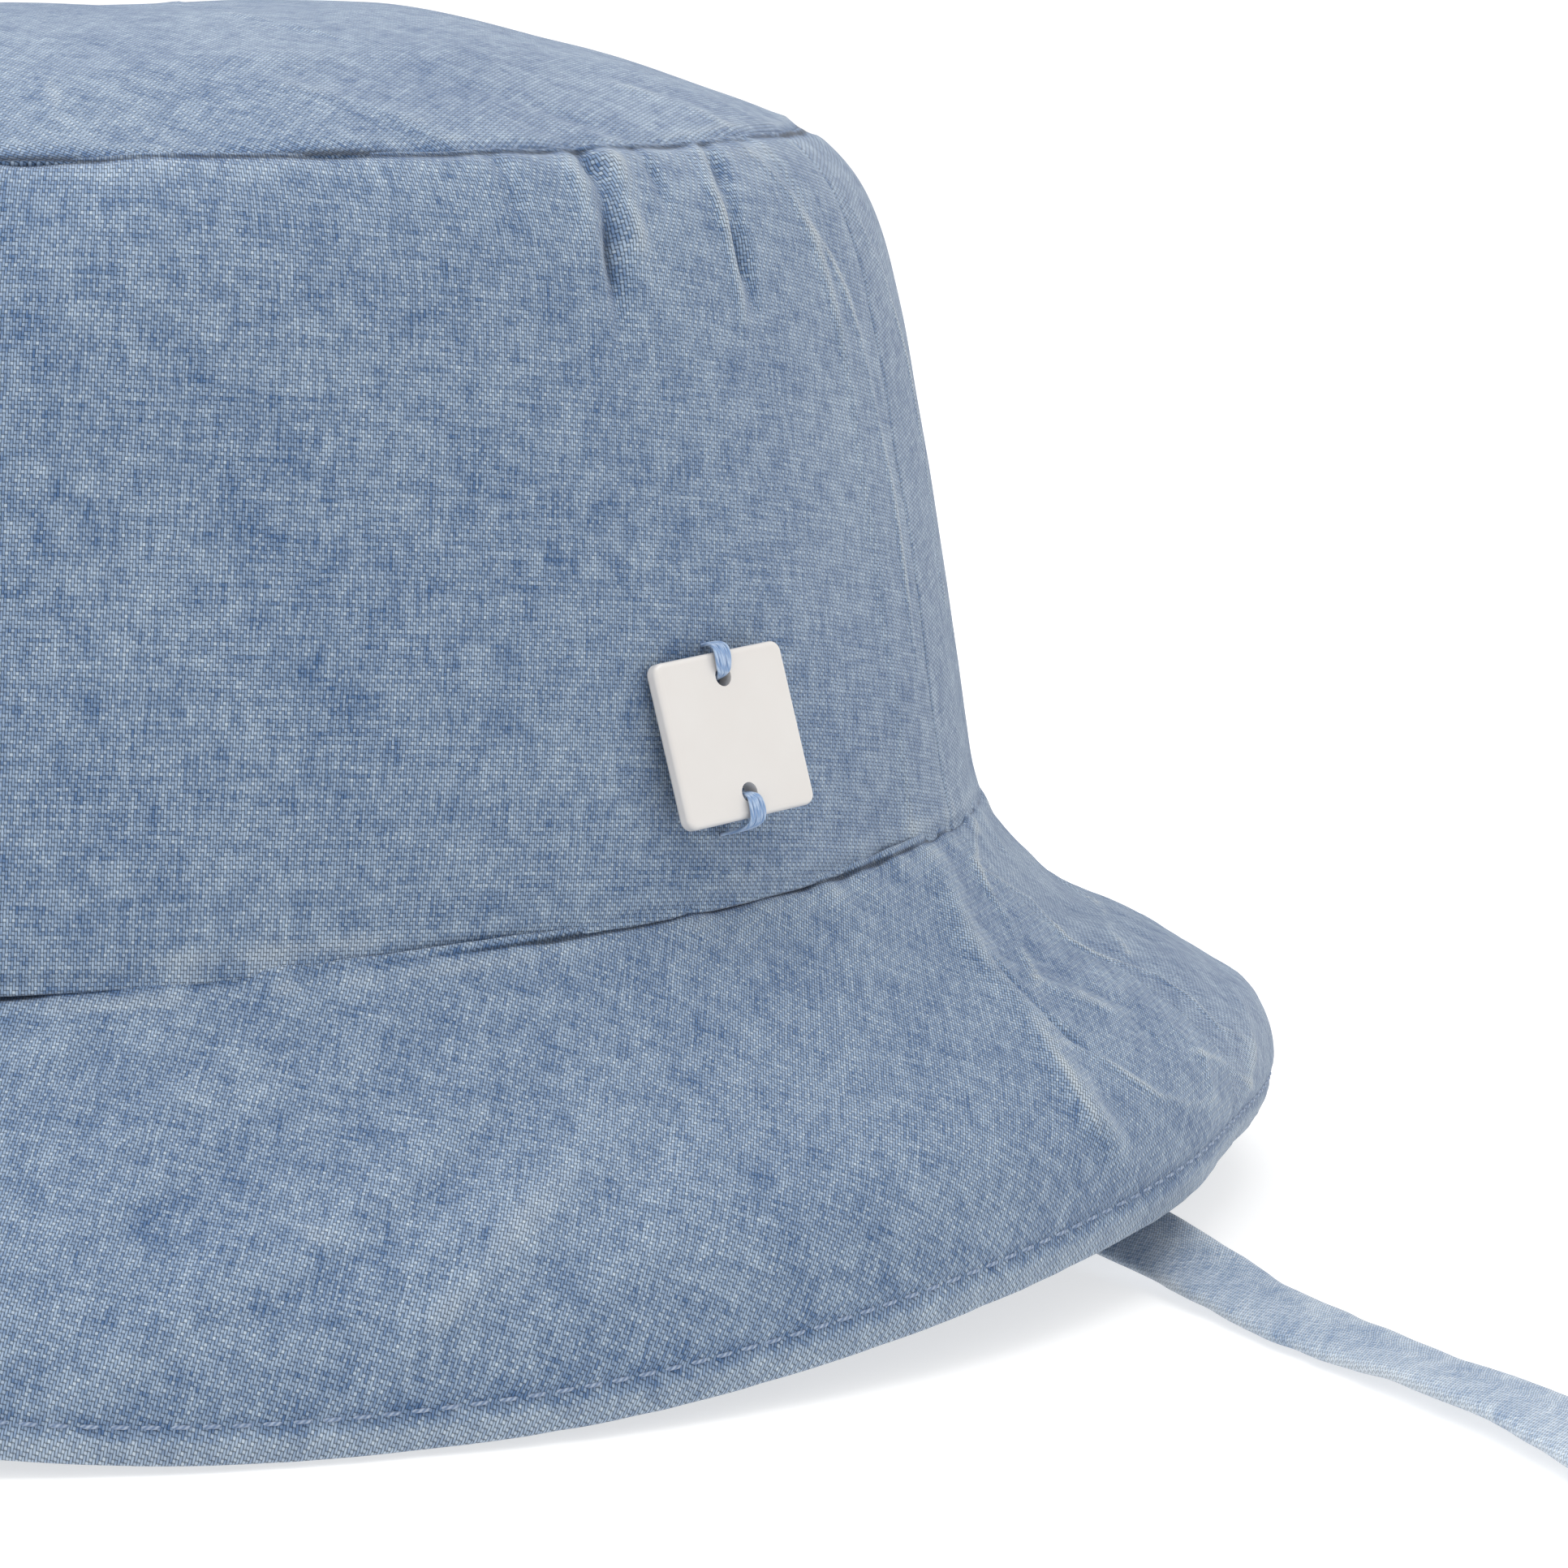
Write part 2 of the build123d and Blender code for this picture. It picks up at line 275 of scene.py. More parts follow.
class Surface(ABC):
    """One smooth side of the hat over azimuth (radians) and share (0 to 1 from seam to seam)."""

    outward = 1.0
    length = 60 * MM
    creases: tuple[Crease, ...] = ()
    bends: tuple[Bend, ...] = ()

    def __init__(self, form: HatForm) -> None:
        """Keep the hat's sizes.

        Args:
            form: Sizes of the sewn hat.
        """
        self.form = form

    @abstractmethod
    def profile(self, azimuth: Grid, share: Grid) -> tuple[Grid, Grid]:
        """Radius and height of the smooth surface."""

    @abstractmethod
    def relief(self, azimuth: Grid, share: Grid) -> tuple[Grid, Grid]:
        """Lift of the cloth off the smooth surface, in metres, and its wear, from -1 to 1, whose values below
        0 in valleys and sewn grooves are painted shade.
        """

    @abstractmethod
    def flat(self, azimuth: Grid, share: Grid, middle: float) -> Grid:
        """Where the point lay in the flat cloth, in metres, with the grain through middle."""

    def points(self, azimuth: Grid, share: Grid, depth: Grid, lift: Grid) -> Grid:
        """Points at a depth under the surface.

        The profile is differentiated over share; the normal is the slope turned a quarter, and
        the point moves along it by lift less depth before the profile is turned to its azimuth.

        Args:
            azimuth: Azimuths in radians.
            share: Shares, of the same shape.
            depth: Distance towards the inside of the hat.
            lift: Distance towards the outside.

        Returns:
            Points, with x, y and z last.
        """
        step = 1e-4
        radius, height = self.profile(azimuth, share)
        radius_on, height_on = self.profile(azimuth, share + step)
        radius_back, height_back = self.profile(azimuth, share - step)
        run, rise = radius_on - radius_back, height_on - height_back
        scale = self.outward * (lift - depth) / np.hypot(run, rise)
        radius, height = radius + rise * scale, height - run * scale
        return np.stack([radius * np.sin(azimuth), -radius * np.cos(azimuth), height], -1)

    def sway(self, azimuth: Grid, share: Grid) -> Grid:
        """Sum of the bends: each is a bell curve of the azimuth times a smooth line over the share."""
        lift = np.zeros(share.shape)
        for bend in self.bends:
            turned = turned_from(azimuth, math.radians(bend.azimuth))
            table = smooth_line(np.array(bend.shares), np.array(bend.lifts)[:, None] * MM,
                                np.clip(share.ravel(), 0, 1))[:, 0]
            lift += ridge(turned, math.radians(bend.reach)) * table.reshape(share.shape)
        return lift

    def press(self, azimuth: Grid, share: Grid, lift: Grid, wear: Grid) -> None:
        """Press the creases into lift and wear.

        Each crease is a bell curve of the distance to its line, measured round the hat and across
        the panel in metres from the crease's own middle.

        Args:
            azimuth: Azimuths in radians.
            share: Shares.
            lift: Lift to add to.
            wear: Wear to add to.
        """
        for number, crease in enumerate(self.creases):
            line = np.array(crease.line)
            middle = math.radians(line[:, 0].mean())
            turned = turned_from(azimuth, middle)
            near = np.abs(turned) < math.radians(np.ptp(line[:, 0]) / 2) + 8 * MM / self.form.tip_radius
            if not near.any():
                continue
            radius = self.profile(azimuth[near], share[near])[0]
            x, y = turned[near] * radius, share[near] * self.length
            radii = self.profile(np.radians(line[:, 0]), line[:, 1])[0]
            px, py = (np.radians(line[:, 0]) - middle) * radii, line[:, 1] * self.length
            distance, along = np.full(x.shape, 1.0), np.zeros(x.shape)
            for k in range(len(line) - 1):
                dx, dy = px[k + 1] - px[k], py[k + 1] - py[k]
                t = np.clip(((x - px[k]) * dx + (y - py[k]) * dy) / (dx * dx + dy * dy), 0, 1)
                gap = np.hypot(x - px[k] - t * dx, y - py[k] - t * dy)
                along = np.where(gap < distance, (k + t) / (len(line) - 1), along)
                distance = np.minimum(gap, distance)
            strength = 0.75 + 0.25 * np.sin(11 * along + 3 * number)
            strength *= ease(0, 0.2, along) * ease(1, 0.8, along) * 0.6 + 0.4
            lift[near] += crease.height * strength * ridge(distance, crease.width)
            # the crease's wear: paler worn cloth along a ridge, or painted shade along a valley where it is
            # below 0
            wear[near] += crease.wear * strength * ridge(distance, 0.8 * crease.width)


def crinkles(seed: int, count: int, azimuths: tuple[float, float], strength: float) -> tuple[Crease, ...]:
    """Make short wandering creases, each a random walk of five steps.

    Args:
        seed: Seed of the random walks.
        count: Number of creases.
        azimuths: First and last azimuth they start in, in degrees.
        strength: Scale of their height and wear.

    Returns:
        The creases.
    """
    rng = np.random.default_rng(seed)
    made = []
    step_round, step_across, wander = 1.7, 0.06, 0.35
    for _ in range(count):
        azimuth, share = rng.uniform(*azimuths), rng.uniform(0.12, 0.8)
        heading = rng.uniform(0, math.pi)
        line = [(azimuth, share)]
        for _ in range(5):
            heading += rng.normal(0, wander)
            azimuth += step_round * math.cos(heading)
            share = float(np.clip(share + step_across * math.sin(heading), 0.05, 0.92))
            line.append((azimuth, share))
        height = strength * rng.uniform(0.15, 0.4) * MM
        made.append(Crease(tuple(line), height, rng.uniform(0.5, 1.0) * MM, 0.5 * strength))
    return tuple(made)


class Band(Surface):
    """Upright band of the crown, from the head seam up to the tip seam."""

    outward = 1.0
    length = 60 * MM
    creases = (
        # gathers under the tip seam, each a valley with a ridge beside it: the valleys are darkened with
        # painted shade, and the ridges are worn pale
        Crease(((62.1, 1.0), (61.7, 0.97), (61.1, 0.93), (60.0, 0.86), (59.5, 0.75)),
               -1.1 * MM, 0.9 * MM, -0.9),
        Crease(((60.2, 1.0), (59.4, 0.95), (58.2, 0.87)), 0.45 * MM, 0.9 * MM, 0.6),
        Crease(((64.4, 1.0), (62.9, 0.93), (61.9, 0.84)), 0.6 * MM, 1.0 * MM, 0.6),
        Crease(((75.1, 1.0), (72.3, 0.94), (71.5, 0.86), (71.0, 0.76)), 0.5 * MM, 0.7 * MM, 0.9),
        Crease(((76.6, 1.0), (74.4, 0.95), (73.0, 0.88), (72.6, 0.78)), -0.9 * MM, 0.9 * MM, -0.8),
        Crease(((67.5, 1.0), (67.0, 0.96), (66.2, 0.92)), -0.5 * MM, 0.7 * MM, -0.5),
        Crease(((54.0, 1.0), (53.7, 0.96), (53.0, 0.91)), -0.4 * MM, 0.8 * MM, -0.4),
        Crease(((80.5, 0.99), (82.6, 0.92), (83.3, 0.8), (83.9, 0.7)), 0.3 * MM, 0.7 * MM, 0.5),
        # edges of the seam allowance, pressed through and worn pale
        Crease(((82.1, 0.9), (84.2, 0.85), (85.7, 0.79), (86.7, 0.72), (87.4, 0.62), (88.0, 0.5),
                (87.6, 0.36), (87.9, 0.22)), 0.2 * MM, 0.5 * MM, 0.9),
        Crease(((92.3, 0.91), (94.2, 0.84), (97.5, 0.76), (99.5, 0.66), (99.0, 0.5), (98.4, 0.3)),
               0.2 * MM, 0.6 * MM, 0.8),
        *crinkles(21, 10, (100, 390), 0.6),
    )
    bends = (
        Bend(110, 34, (0.0, 0.04, 0.11, 0.19, 0.26, 0.34, 0.5, 0.64, 0.78, 0.85, 0.93, 1.0),
             (1.3, 0.75, 0.35, 0.1, -0.1, -0.25, -0.35, -0.55, -0.5, -0.2, 0.2, 0.4)),
        Bend(-75, 26, (0.0, 0.1, 0.3, 0.7, 1.0), (0.6, 0.2, -0.3, 0.3, 0.1)),
    )

    def profile(self, azimuth: Grid, share: Grid) -> tuple[Grid, Grid]:
        """Radius = head radius - taper x share^1.4 - shoulder x share^12, and height runs evenly."""
        form = self.form
        up = np.clip(share, 0, None)
        base = form.seam_height(azimuth)
        radius = form.head_radius - form.taper * up ** form.taper_power
        radius = radius - form.shoulder * up ** form.shoulder_power
        return radius, base + share * (form.tip_seam - base)

    def relief(self, azimuth: Grid, share: Grid) -> tuple[Grid, Grid]:
        """Slow swells, gathers under the tip seam, puckers over the head seam and raised side seams."""
        round_, up = azimuth / TURN, share * self.length
        below_tip = (1 - share) * self.length
        lift = self.sway(azimuth, share) + 0.45 * MM * layered(round_ * 18, up / (22 * MM), 18, 3)
        gather = patchwork(round_ * 84 + 0.8 * np.sin(up / (14 * MM)), up / (30 * MM), 84, 5)
        gather *= 0.4 + 0.6 * ease(-0.2, 0.6, patchwork(round_ * 16, up * 0, 16, 6))
        fall = np.exp(-below_tip / (8 * MM))
        pucker = patchwork(round_ * 150, up / (9 * MM), 150, 8)
        near_seam = np.exp(-np.maximum(up, 0) / (4.5 * MM)) * (1.9 - 0.9 * self.form.seam_depth(azimuth))
        lift += 0.42 * MM * gather * fall + 0.14 * MM * pucker * near_seam
        # wear follows the gathers and puckers: paler where they rise, which is worn cloth, and darker where
        # they sink, which is painted shade
        wear = 0.25 * gather * fall + 0.25 * pucker * near_seam
        wear += 0.12 * patchwork(round_ * 40, up / (16 * MM), 40, 9)
        for seam in (90, 270):
            wander = 0.35 * MM * patchwork(up / (4 * MM), up * 0, 64, seam)
            off = turned_from(azimuth, math.radians(seam)) * self.form.head_radius + wander
            fold = ease(9.6 * MM, 8.2 * MM, np.abs(off))
            lift += 0.22 * MM * fold - 0.1 * MM * ridge(off, 0.4 * MM)
            wear += 0.3 * ridge(np.abs(off) - 1.1 * MM, 0.6 * MM)
            wear += 0.3 * ridge(np.abs(off) - 8.8 * MM, 0.6 * MM)
        self.press(azimuth, share, lift, wear)
        for distance, deep in ((up, 0.3 * MM * self.form.seam_depth(azimuth)), (below_tip, 0.65 * MM)):
            tight = 0.75 + 0.25 * patchwork(round_ * 60, up * 0, 60, 12)
            lift -= deep * tight * ridge(distance, 0.45 * MM)
            wear += 0.22 * ridge(distance - 1.2 * MM, 0.6 * MM)
        # painted shadow: a dark line of wear below 0 along the tip seam
        wear -= 0.9 * ridge(below_tip, 0.35 * MM)
        return lift, np.clip(wear, -1, 1)

    def flat(self, azimuth: Grid, share: Grid, middle: float) -> Grid:
        """Slice of a cone that leans by 0.146: its slant at the head seam is the head radius / lean."""
        lean = 0.146
        slant = self.form.head_radius / lean - share * self.length
        angle = (azimuth - middle) * lean
        return np.stack([slant * np.sin(angle), -slant * np.cos(angle)], -1)


class Brim(Surface):
    """Sloping brim, from the head seam out and down to the edge."""

    outward = -1.0
    length = 36.3 * MM
    stitch_share = 0.945
    # waves of the edge up and down: azimuth and reach in degrees, height
    waves = (
        (10, 12, 2.2 * MM), (46, 17, -0.7 * MM), (150, 20, 1.0 * MM), (205, 25, 1.6 * MM),
        (300, 22, -0.8 * MM),
    )
    creases = (
        # sharp creases at the wearer's left, where the brim was folded: worn pale along their tops
        Crease(((96.3, 0.0), (88.5, 0.1), (87.0, 0.18), (85.9, 0.26), (83.6, 0.33), (81.5, 0.4),
                (79.8, 0.44), (76.6, 0.54)), 0.3 * MM, 0.42 * MM, 0.9),
        Crease(((88.4, 0.11), (90.4, 0.19), (91.8, 0.24), (90.6, 0.31), (89.7, 0.37), (89.9, 0.43),
                (90.4, 0.46), (91.4, 0.51), (92.5, 0.56), (92.9, 0.67), (92.1, 0.75), (94.4, 0.81)),
               0.3 * MM, 0.42 * MM, 1.1),
        Crease(((107.6, 0.33), (105.6, 0.38), (96.3, 0.42), (93.6, 0.48), (91.6, 0.51)),
               0.25 * MM, 0.42 * MM, 0.9),
        Crease(((91.0, 0.52), (87.2, 0.53), (84.8, 0.57), (84.9, 0.69)), 0.15 * MM, 0.45 * MM, 0.6),
        Crease(((83.8, 0.07), (82.3, 0.14), (79.7, 0.26), (78.7, 0.34), (77.4, 0.47), (75.9, 0.58),
                (74.9, 0.66), (74.5, 0.76), (75.1, 0.83), (76.3, 0.91)), 0.75 * MM, 1.7 * MM, 0.5),
        Crease(((76.6, 0.5), (75.2, 0.6), (74.2, 0.7), (74.0, 0.8)), 0.1 * MM, 0.45 * MM, 0.8),
        # a valley, darkened with painted shade
        Crease(((79.6, 0.3), (78.9, 0.38), (78.1, 0.47), (77.6, 0.54), (78.0, 0.62)),
               -0.45 * MM, 0.5 * MM, -0.9),
        Crease(((75.9, 0.58), (77.2, 0.6), (78.5, 0.66), (79.1, 0.72), (80.4, 0.79), (83.1, 0.84),
                (87.2, 0.87)), 0.25 * MM, 0.45 * MM, 0.9),
        Crease(((85.1, 0.72), (88.9, 0.8), (91.9, 0.87), (94.8, 0.92)), 0.2 * MM, 0.45 * MM, 0.8),
        # two broad valleys, darkened with painted shade
        Crease(((84.5, 0.3), (83.6, 0.45), (85.5, 0.6), (83.0, 0.72)), -0.35 * MM, 1.6 * MM, -0.35),
        Crease(((93.0, 0.27), (98.0, 0.33), (101.0, 0.42), (99.0, 0.55)), -0.25 * MM, 1.5 * MM, -0.3),
        # soft diagonal drag folds at the front
        Crease(((22.7, 0.9), (26.6, 0.74), (29.7, 0.61), (32.4, 0.48)), 0.4 * MM, 1.8 * MM, 0.3),
        Crease(((23.0, 0.43), (26.0, 0.32), (29.6, 0.2)), 0.35 * MM, 1.7 * MM, 0.3),
        Crease(((36.6, 0.84), (40.0, 0.72), (42.8, 0.61), (46.0, 0.52)), 0.4 * MM, 1.6 * MM, 0.3),
        Crease(((33.2, 0.94), (36.2, 0.85), (39.2, 0.74)), 0.3 * MM, 1.5 * MM, 0.25),
        *crinkles(31, 16, (70, 115), 0.7),
        *crinkles(32, 40, (115, 410), 0.6),
    )
    bends = (
        Bend(112, 22, (0.0, 0.07, 0.14, 0.21, 0.33, 0.47, 0.55, 0.62, 0.7, 0.78, 0.88, 0.93, 1.0),
             (1.0, 0.1, -0.4, -0.9, -1.2, -0.2, 0.1, 0.1, 0.4, 1.5, 2.0, 1.7, 0.2)),
        Bend(92, 8, (0.0, 0.6, 0.85, 1.0), (0.0, 0.0, -0.5, -1.7)),
        Bend(-78, 24, (0.0, 0.2, 0.4, 0.75, 1.0), (0.3, -0.5, -0.4, 0.9, 0.2)),
        Bend(190, 28, (0.0, 0.4, 0.8, 1.0), (0.2, 0.0, 0.5, 1.1)),
        Bend(238, 16, (0.0, 0.4, 0.8, 1.0), (0.0, 0.5, 0.3, -0.3)),
    )

    def profile(self, azimuth: Grid, share: Grid) -> tuple[Grid, Grid]:
        """Straight run from seam to waved edge, bowed outwards by bulge x sin(pi x share^2.1)."""
        form, side = self.form, self.form.sideways(azimuth)
        start_radius = form.head_radius + form.start_out
        start_height = form.seam_height(azimuth) - form.start_down
        run = form.brim_radius + form.brim_gain * side - start_radius
        rise = form.edge_height + form.edge_rise * side ** 2 - start_height
        for middle, reach, height in self.waves:
            rise = rise + height * ridge(turned_from(azimuth, math.radians(middle)), math.radians(reach))
        swelling = np.sin(math.pi * np.clip(share, 0, None) ** form.bulge_power)
        bow = (form.bulge + form.bulge_gain * side) * swelling / np.hypot(run, rise)
        return start_radius + run * share - bow * rise, start_height + rise * share + bow * run

    def relief(self, azimuth: Grid, share: Grid) -> tuple[Grid, Grid]:
        """Slow waves, slanting drag folds, puckers under the head seam, sewn groove and rolled edge."""
        round_, out = azimuth / TURN, share * self.length
        inside = ease(0, 0.15, share) * ease(1.0, 0.8, share)
        lift = self.sway(azimuth, share) + 0.4 * MM * layered(round_ * 20, out / (17 * MM), 20, 41)
        slant = (1.3 * np.cos(azimuth) + 0.15) * out / (4.4 * MM)
        drag = patchwork(round_ * 128 + slant, out / (19 * MM), 128, 43)
        patch = ease(-0.5, 0.6, patchwork(round_ * 22, out / (20 * MM), 22, 44))
        lift += 0.26 * MM * drag * patch * inside
        pucker = patchwork(round_ * 180, out / (8 * MM), 180, 46)
        near_seam = np.exp(-np.maximum(out, 0) / (4.5 * MM)) * (1.9 - 0.9 * self.form.seam_depth(azimuth))
        lift += 0.2 * MM * pucker * near_seam
        # wear follows the drag folds and puckers: paler where they rise, which is worn cloth, and darker
        # where they sink, which is painted shade
        wear = 0.3 * drag * patch * inside + 0.3 * pucker * near_seam
        self.press(azimuth, share, lift, wear)
        edge = (1 - share) * self.length
        row = (share - self.stitch_share) * self.length
        lift += -0.25 * MM * ridge(row, 0.5 * MM) + 0.18 * MM * ridge(edge - 0.9 * MM, 0.7 * MM)
        lift += 0.1 * MM * patchwork(round_ * 296, out * 0, 296, 47) * ridge(edge, 1.4 * MM)
        # the rolled edge is worn pale, and the sewn groove of the stitch row is darkened with painted shade
        wear += 0.42 * ease(1.8 * MM, 0.9 * MM, edge) - 0.3 * ridge(row, 0.5 * MM)
        tight = 0.7 + 0.3 * patchwork(round_ * 60, out * 0, 60, 12)
        lift -= 0.5 * MM * tight * ridge(out, 0.42 * MM) * self.form.seam_depth(azimuth)
        wear += 0.25 * ridge(out - 1.3 * MM, 0.7 * MM)
        # painted shadow: a dark line along the head seam, weaker where the seam is pressed less
        wear -= 1.2 * ridge(out, 0.3 * MM) * self.form.seam_depth(azimuth)
        return lift, np.clip(wear, -1, 1)

    def flat(self, azimuth: Grid, share: Grid, middle: float) -> Grid:
        """Slice of a flat ring: slant from 124 to 161 mm, turned by 0.62 of the azimuth."""
        inner, width, fan = 124 * MM, 37, 0.62
        slant = inner + share * width * MM
        angle = (azimuth - middle) * fan
        return np.stack([slant * np.sin(angle), -slant * np.cos(angle)], -1)


class Tip(Surface):
    """Round top of the crown, from its middle out to the tip seam."""

    outward = -1.0
    length = 63 * MM
    creases = (
        Crease(((52.0, 0.97), (46.0, 0.88), (38.0, 0.8)), 0.3 * MM, 1.2 * MM, 0.4),
        # a valley, darkened with painted shade
        Crease(((70.0, 0.98), (66.0, 0.9), (60.0, 0.82)), -0.35 * MM, 1.3 * MM, -0.4),
        Crease(((84.0, 0.98), (83.0, 0.9), (80.0, 0.82)), 0.3 * MM, 1.2 * MM, 0.4),
        Crease(((20.0, 0.8), (45.0, 0.72), (70.0, 0.7)), 0.3 * MM, 3.0 * MM, 0.2),
        *crinkles(51, 14, (0, 360), 0.6),
    )
    bends = (
        # the first one reaches all round
        Bend(0, 9999, (0.0, 0.15, 0.3, 0.5, 0.7, 1.0), (-1.4, -1.2, -0.8, -0.3, 0.0, 0.0)),
        Bend(120, 60, (0.0, 0.1, 0.2, 0.34, 0.45, 0.55, 0.65, 0.75, 0.85, 0.93, 1.0),
             (0.0, 0.1, 0.4, 0.6, 0.8, 0.6, 0.25, 0.25, 0.17, 0.2, 0.1)),
    )

    def profile(self, azimuth: Grid, share: Grid) -> tuple[Grid, Grid]:
        """Height = tip seam + rise x (1 - share^2.6), and radius = tip radius x share."""
        form = self.form
        height = form.tip_seam + (form.top - form.tip_seam) * (1 - np.abs(share) ** form.tip_power)
        return form.tip_radius * share, height

    def relief(self, azimuth: Grid, share: Grid) -> tuple[Grid, Grid]:
        """Slow swells that fade at the middle, short gathers along the seam and the seam's dip."""
        round_, edge = azimuth / TURN, (1 - share) * self.length
        x, y = share * np.sin(azimuth) * 3.1 + 20, share * np.cos(azimuth) * 3.1 + 20
        lift = self.sway(azimuth, share) + 0.5 * MM * layered(x, y, 64, 61)
        gather = patchwork(round_ * 96 + 0.7 * np.sin(edge / (6 * MM)), edge / (14 * MM), 96, 63)
        gather *= 0.4 + 0.6 * ease(-0.2, 0.6, patchwork(round_ * 18, edge * 0, 18, 64))
        fall = np.exp(-np.maximum(edge, 0) / (7 * MM))
        lift += 0.4 * MM * gather * fall
        # wear follows the gathers: paler where they rise, which is worn cloth, and darker where they sink,
        # which is painted shade; the layered noise is the cloth's own tone
        wear = 0.3 * gather * fall + 0.2 * layered(x * 2, y * 2, 128, 66)
        self.press(azimuth, share, lift, wear)
        tight = 0.75 + 0.25 * patchwork(round_ * 60, edge * 0, 60, 12)
        lift += (0.15 * ridge(edge - 1.0 * MM, 0.7 * MM) - 0.4 * tight * ridge(edge, 0.4 * MM)) * MM
        # a pale worn ridge beside the seam, and a painted shadow: a dark line along the tip seam
        wear += 0.35 * ridge(edge - 1.1 * MM, 0.6 * MM) - 1.2 * ridge(edge, 0.35 * MM)
        return lift, np.clip(wear, -1, 1)

    def flat(self, azimuth: Grid, share: Grid, middle: float) -> Grid:
        """Straight down view of the dome, turned by middle."""
        radius = share * self.length
        return np.stack([radius * np.sin(azimuth - middle), -radius * np.cos(azimuth - middle)], -1)


# ---- Meshes -------------------------------------------------------------------------------


@dataclass
class Shell:
    """A closed mesh being gathered: points, faces, and each point's place in the cloth and its wear, with
    painted shade in its values below 0.
    """

    points: Grid
    faces: list[Grid]
    cloth: Grid
    wear: Grid

    def make(self, name: str) -> bpy.types.Object:
        """Turn the shell into an object, with its faces outwards.

        The signed volume is the sum of each face fan's corner triple products; a negative one
        means that the faces point inwards, and they are turned.

        Args:
            name: The object's name.

        Returns:
            The object, linked to the scene at the origin.
        """
        mesh = bpy.data.meshes.new(name)
        points = self.points.reshape(-1, 3)
        volume = 0.0
        for block in self.faces:
            for k in range(1, block.shape[1] - 1):
                fan = np.cross(points[block[:, k]], points[block[:, k + 1]])
                volume += float(np.einsum("ij,ij->", points[block[:, 0]], fan))
        blocks = self.faces if volume > 0 else [block[:, ::-1] for block in self.faces]
        corners = np.concatenate([block.ravel() for block in blocks])
        sizes = np.concatenate([np.full(len(block), block.shape[1]) for block in blocks])
        starts = np.concatenate([[0], np.cumsum(sizes)[:-1]])
        mesh.vertices.add(len(points))
        mesh.vertices.foreach_set("co", points.astype(np.float32).ravel())
        mesh.loops.add(len(corners))
        mesh.loops.foreach_set("vertex_index", corners.astype(np.int32))
        mesh.polygons.add(len(sizes))
        mesh.polygons.foreach_set("loop_start", starts.astype(np.int32))
        mesh.update(calc_edges=True)
        mesh.validate()
        mesh.polygons.foreach_set("use_smooth", sizes <= 4)
        layer = mesh.uv_layers.new(name=CLOTH_UV)
        used = np.zeros(len(mesh.loops), np.int32)
        mesh.loops.foreach_get("vertex_index", used)
        layer.data.foreach_set("uv", self.cloth.reshape(-1, 2)[used].astype(np.float32).ravel())
        attribute = mesh.attributes.new(WEAR_AND_SHADE, "FLOAT", "POINT")
        attribute.data.foreach_set("value", self.wear.astype(np.float32).ravel())
        made = bpy.data.objects.new(name, mesh)
        bpy.context.scene.collection.objects.link(made)
        return made


def lattice(rows: int, columns: int, start: int = 0) -> Grid:
    """Quads of a grid whose columns close round.

    Args:
        rows: Number of rows.
        columns: Number of points in each closed row.
        start: Number of the first point.

    Returns:
        Four corners a face.
    """
    i, j = np.meshgrid(np.arange(rows - 1), np.arange(columns), indexing="ij")
    k = (j + 1) % columns
    quads = np.stack([i * columns + j, i * columns + k, (i + 1) * columns + k, (i + 1) * columns + j], -1)
    return quads.reshape(-1, 4) + start


def tube(rings: Grid, cloth: Grid, wear: Grid) -> Shell:
    """Close a row of rings into a shell, with one flat face at each end.

    Args:
        rings: Points, ring by ring.
        cloth: Each point's place in the cloth.
        wear: Each point's wear, with painted shade in its values below 0.

    Returns:
        The shell.
    """
    rows, columns = rings.shape[:2]
    ends = [np.arange(columns)[None, ::-1], np.arange(columns)[None] + (rows - 1) * columns]
    return Shell(rings, [lattice(rows, columns), *ends], cloth, wear)


@dataclass(frozen=True)
class Ply:
    """One layer of cloth: its depths under the outer surface, and what they come to at its last edge."""

    near: float
    far: float
    edge_near: float | None = None
    edge_far: float | None = None

    def depth(self, share: Grid, fraction: Grid) -> Grid:
        """Depth of a point, fraction 0 on the ply's outside and 1 on its inside."""
        swell = ease(0.95, 0.985, share)
        near = self.near + swell * ((self.near if self.edge_near is None else self.edge_near) - self.near)
        far = self.far + swell * ((self.far if self.edge_far is None else self.edge_far) - self.far)
        return near + (far - near) * fraction


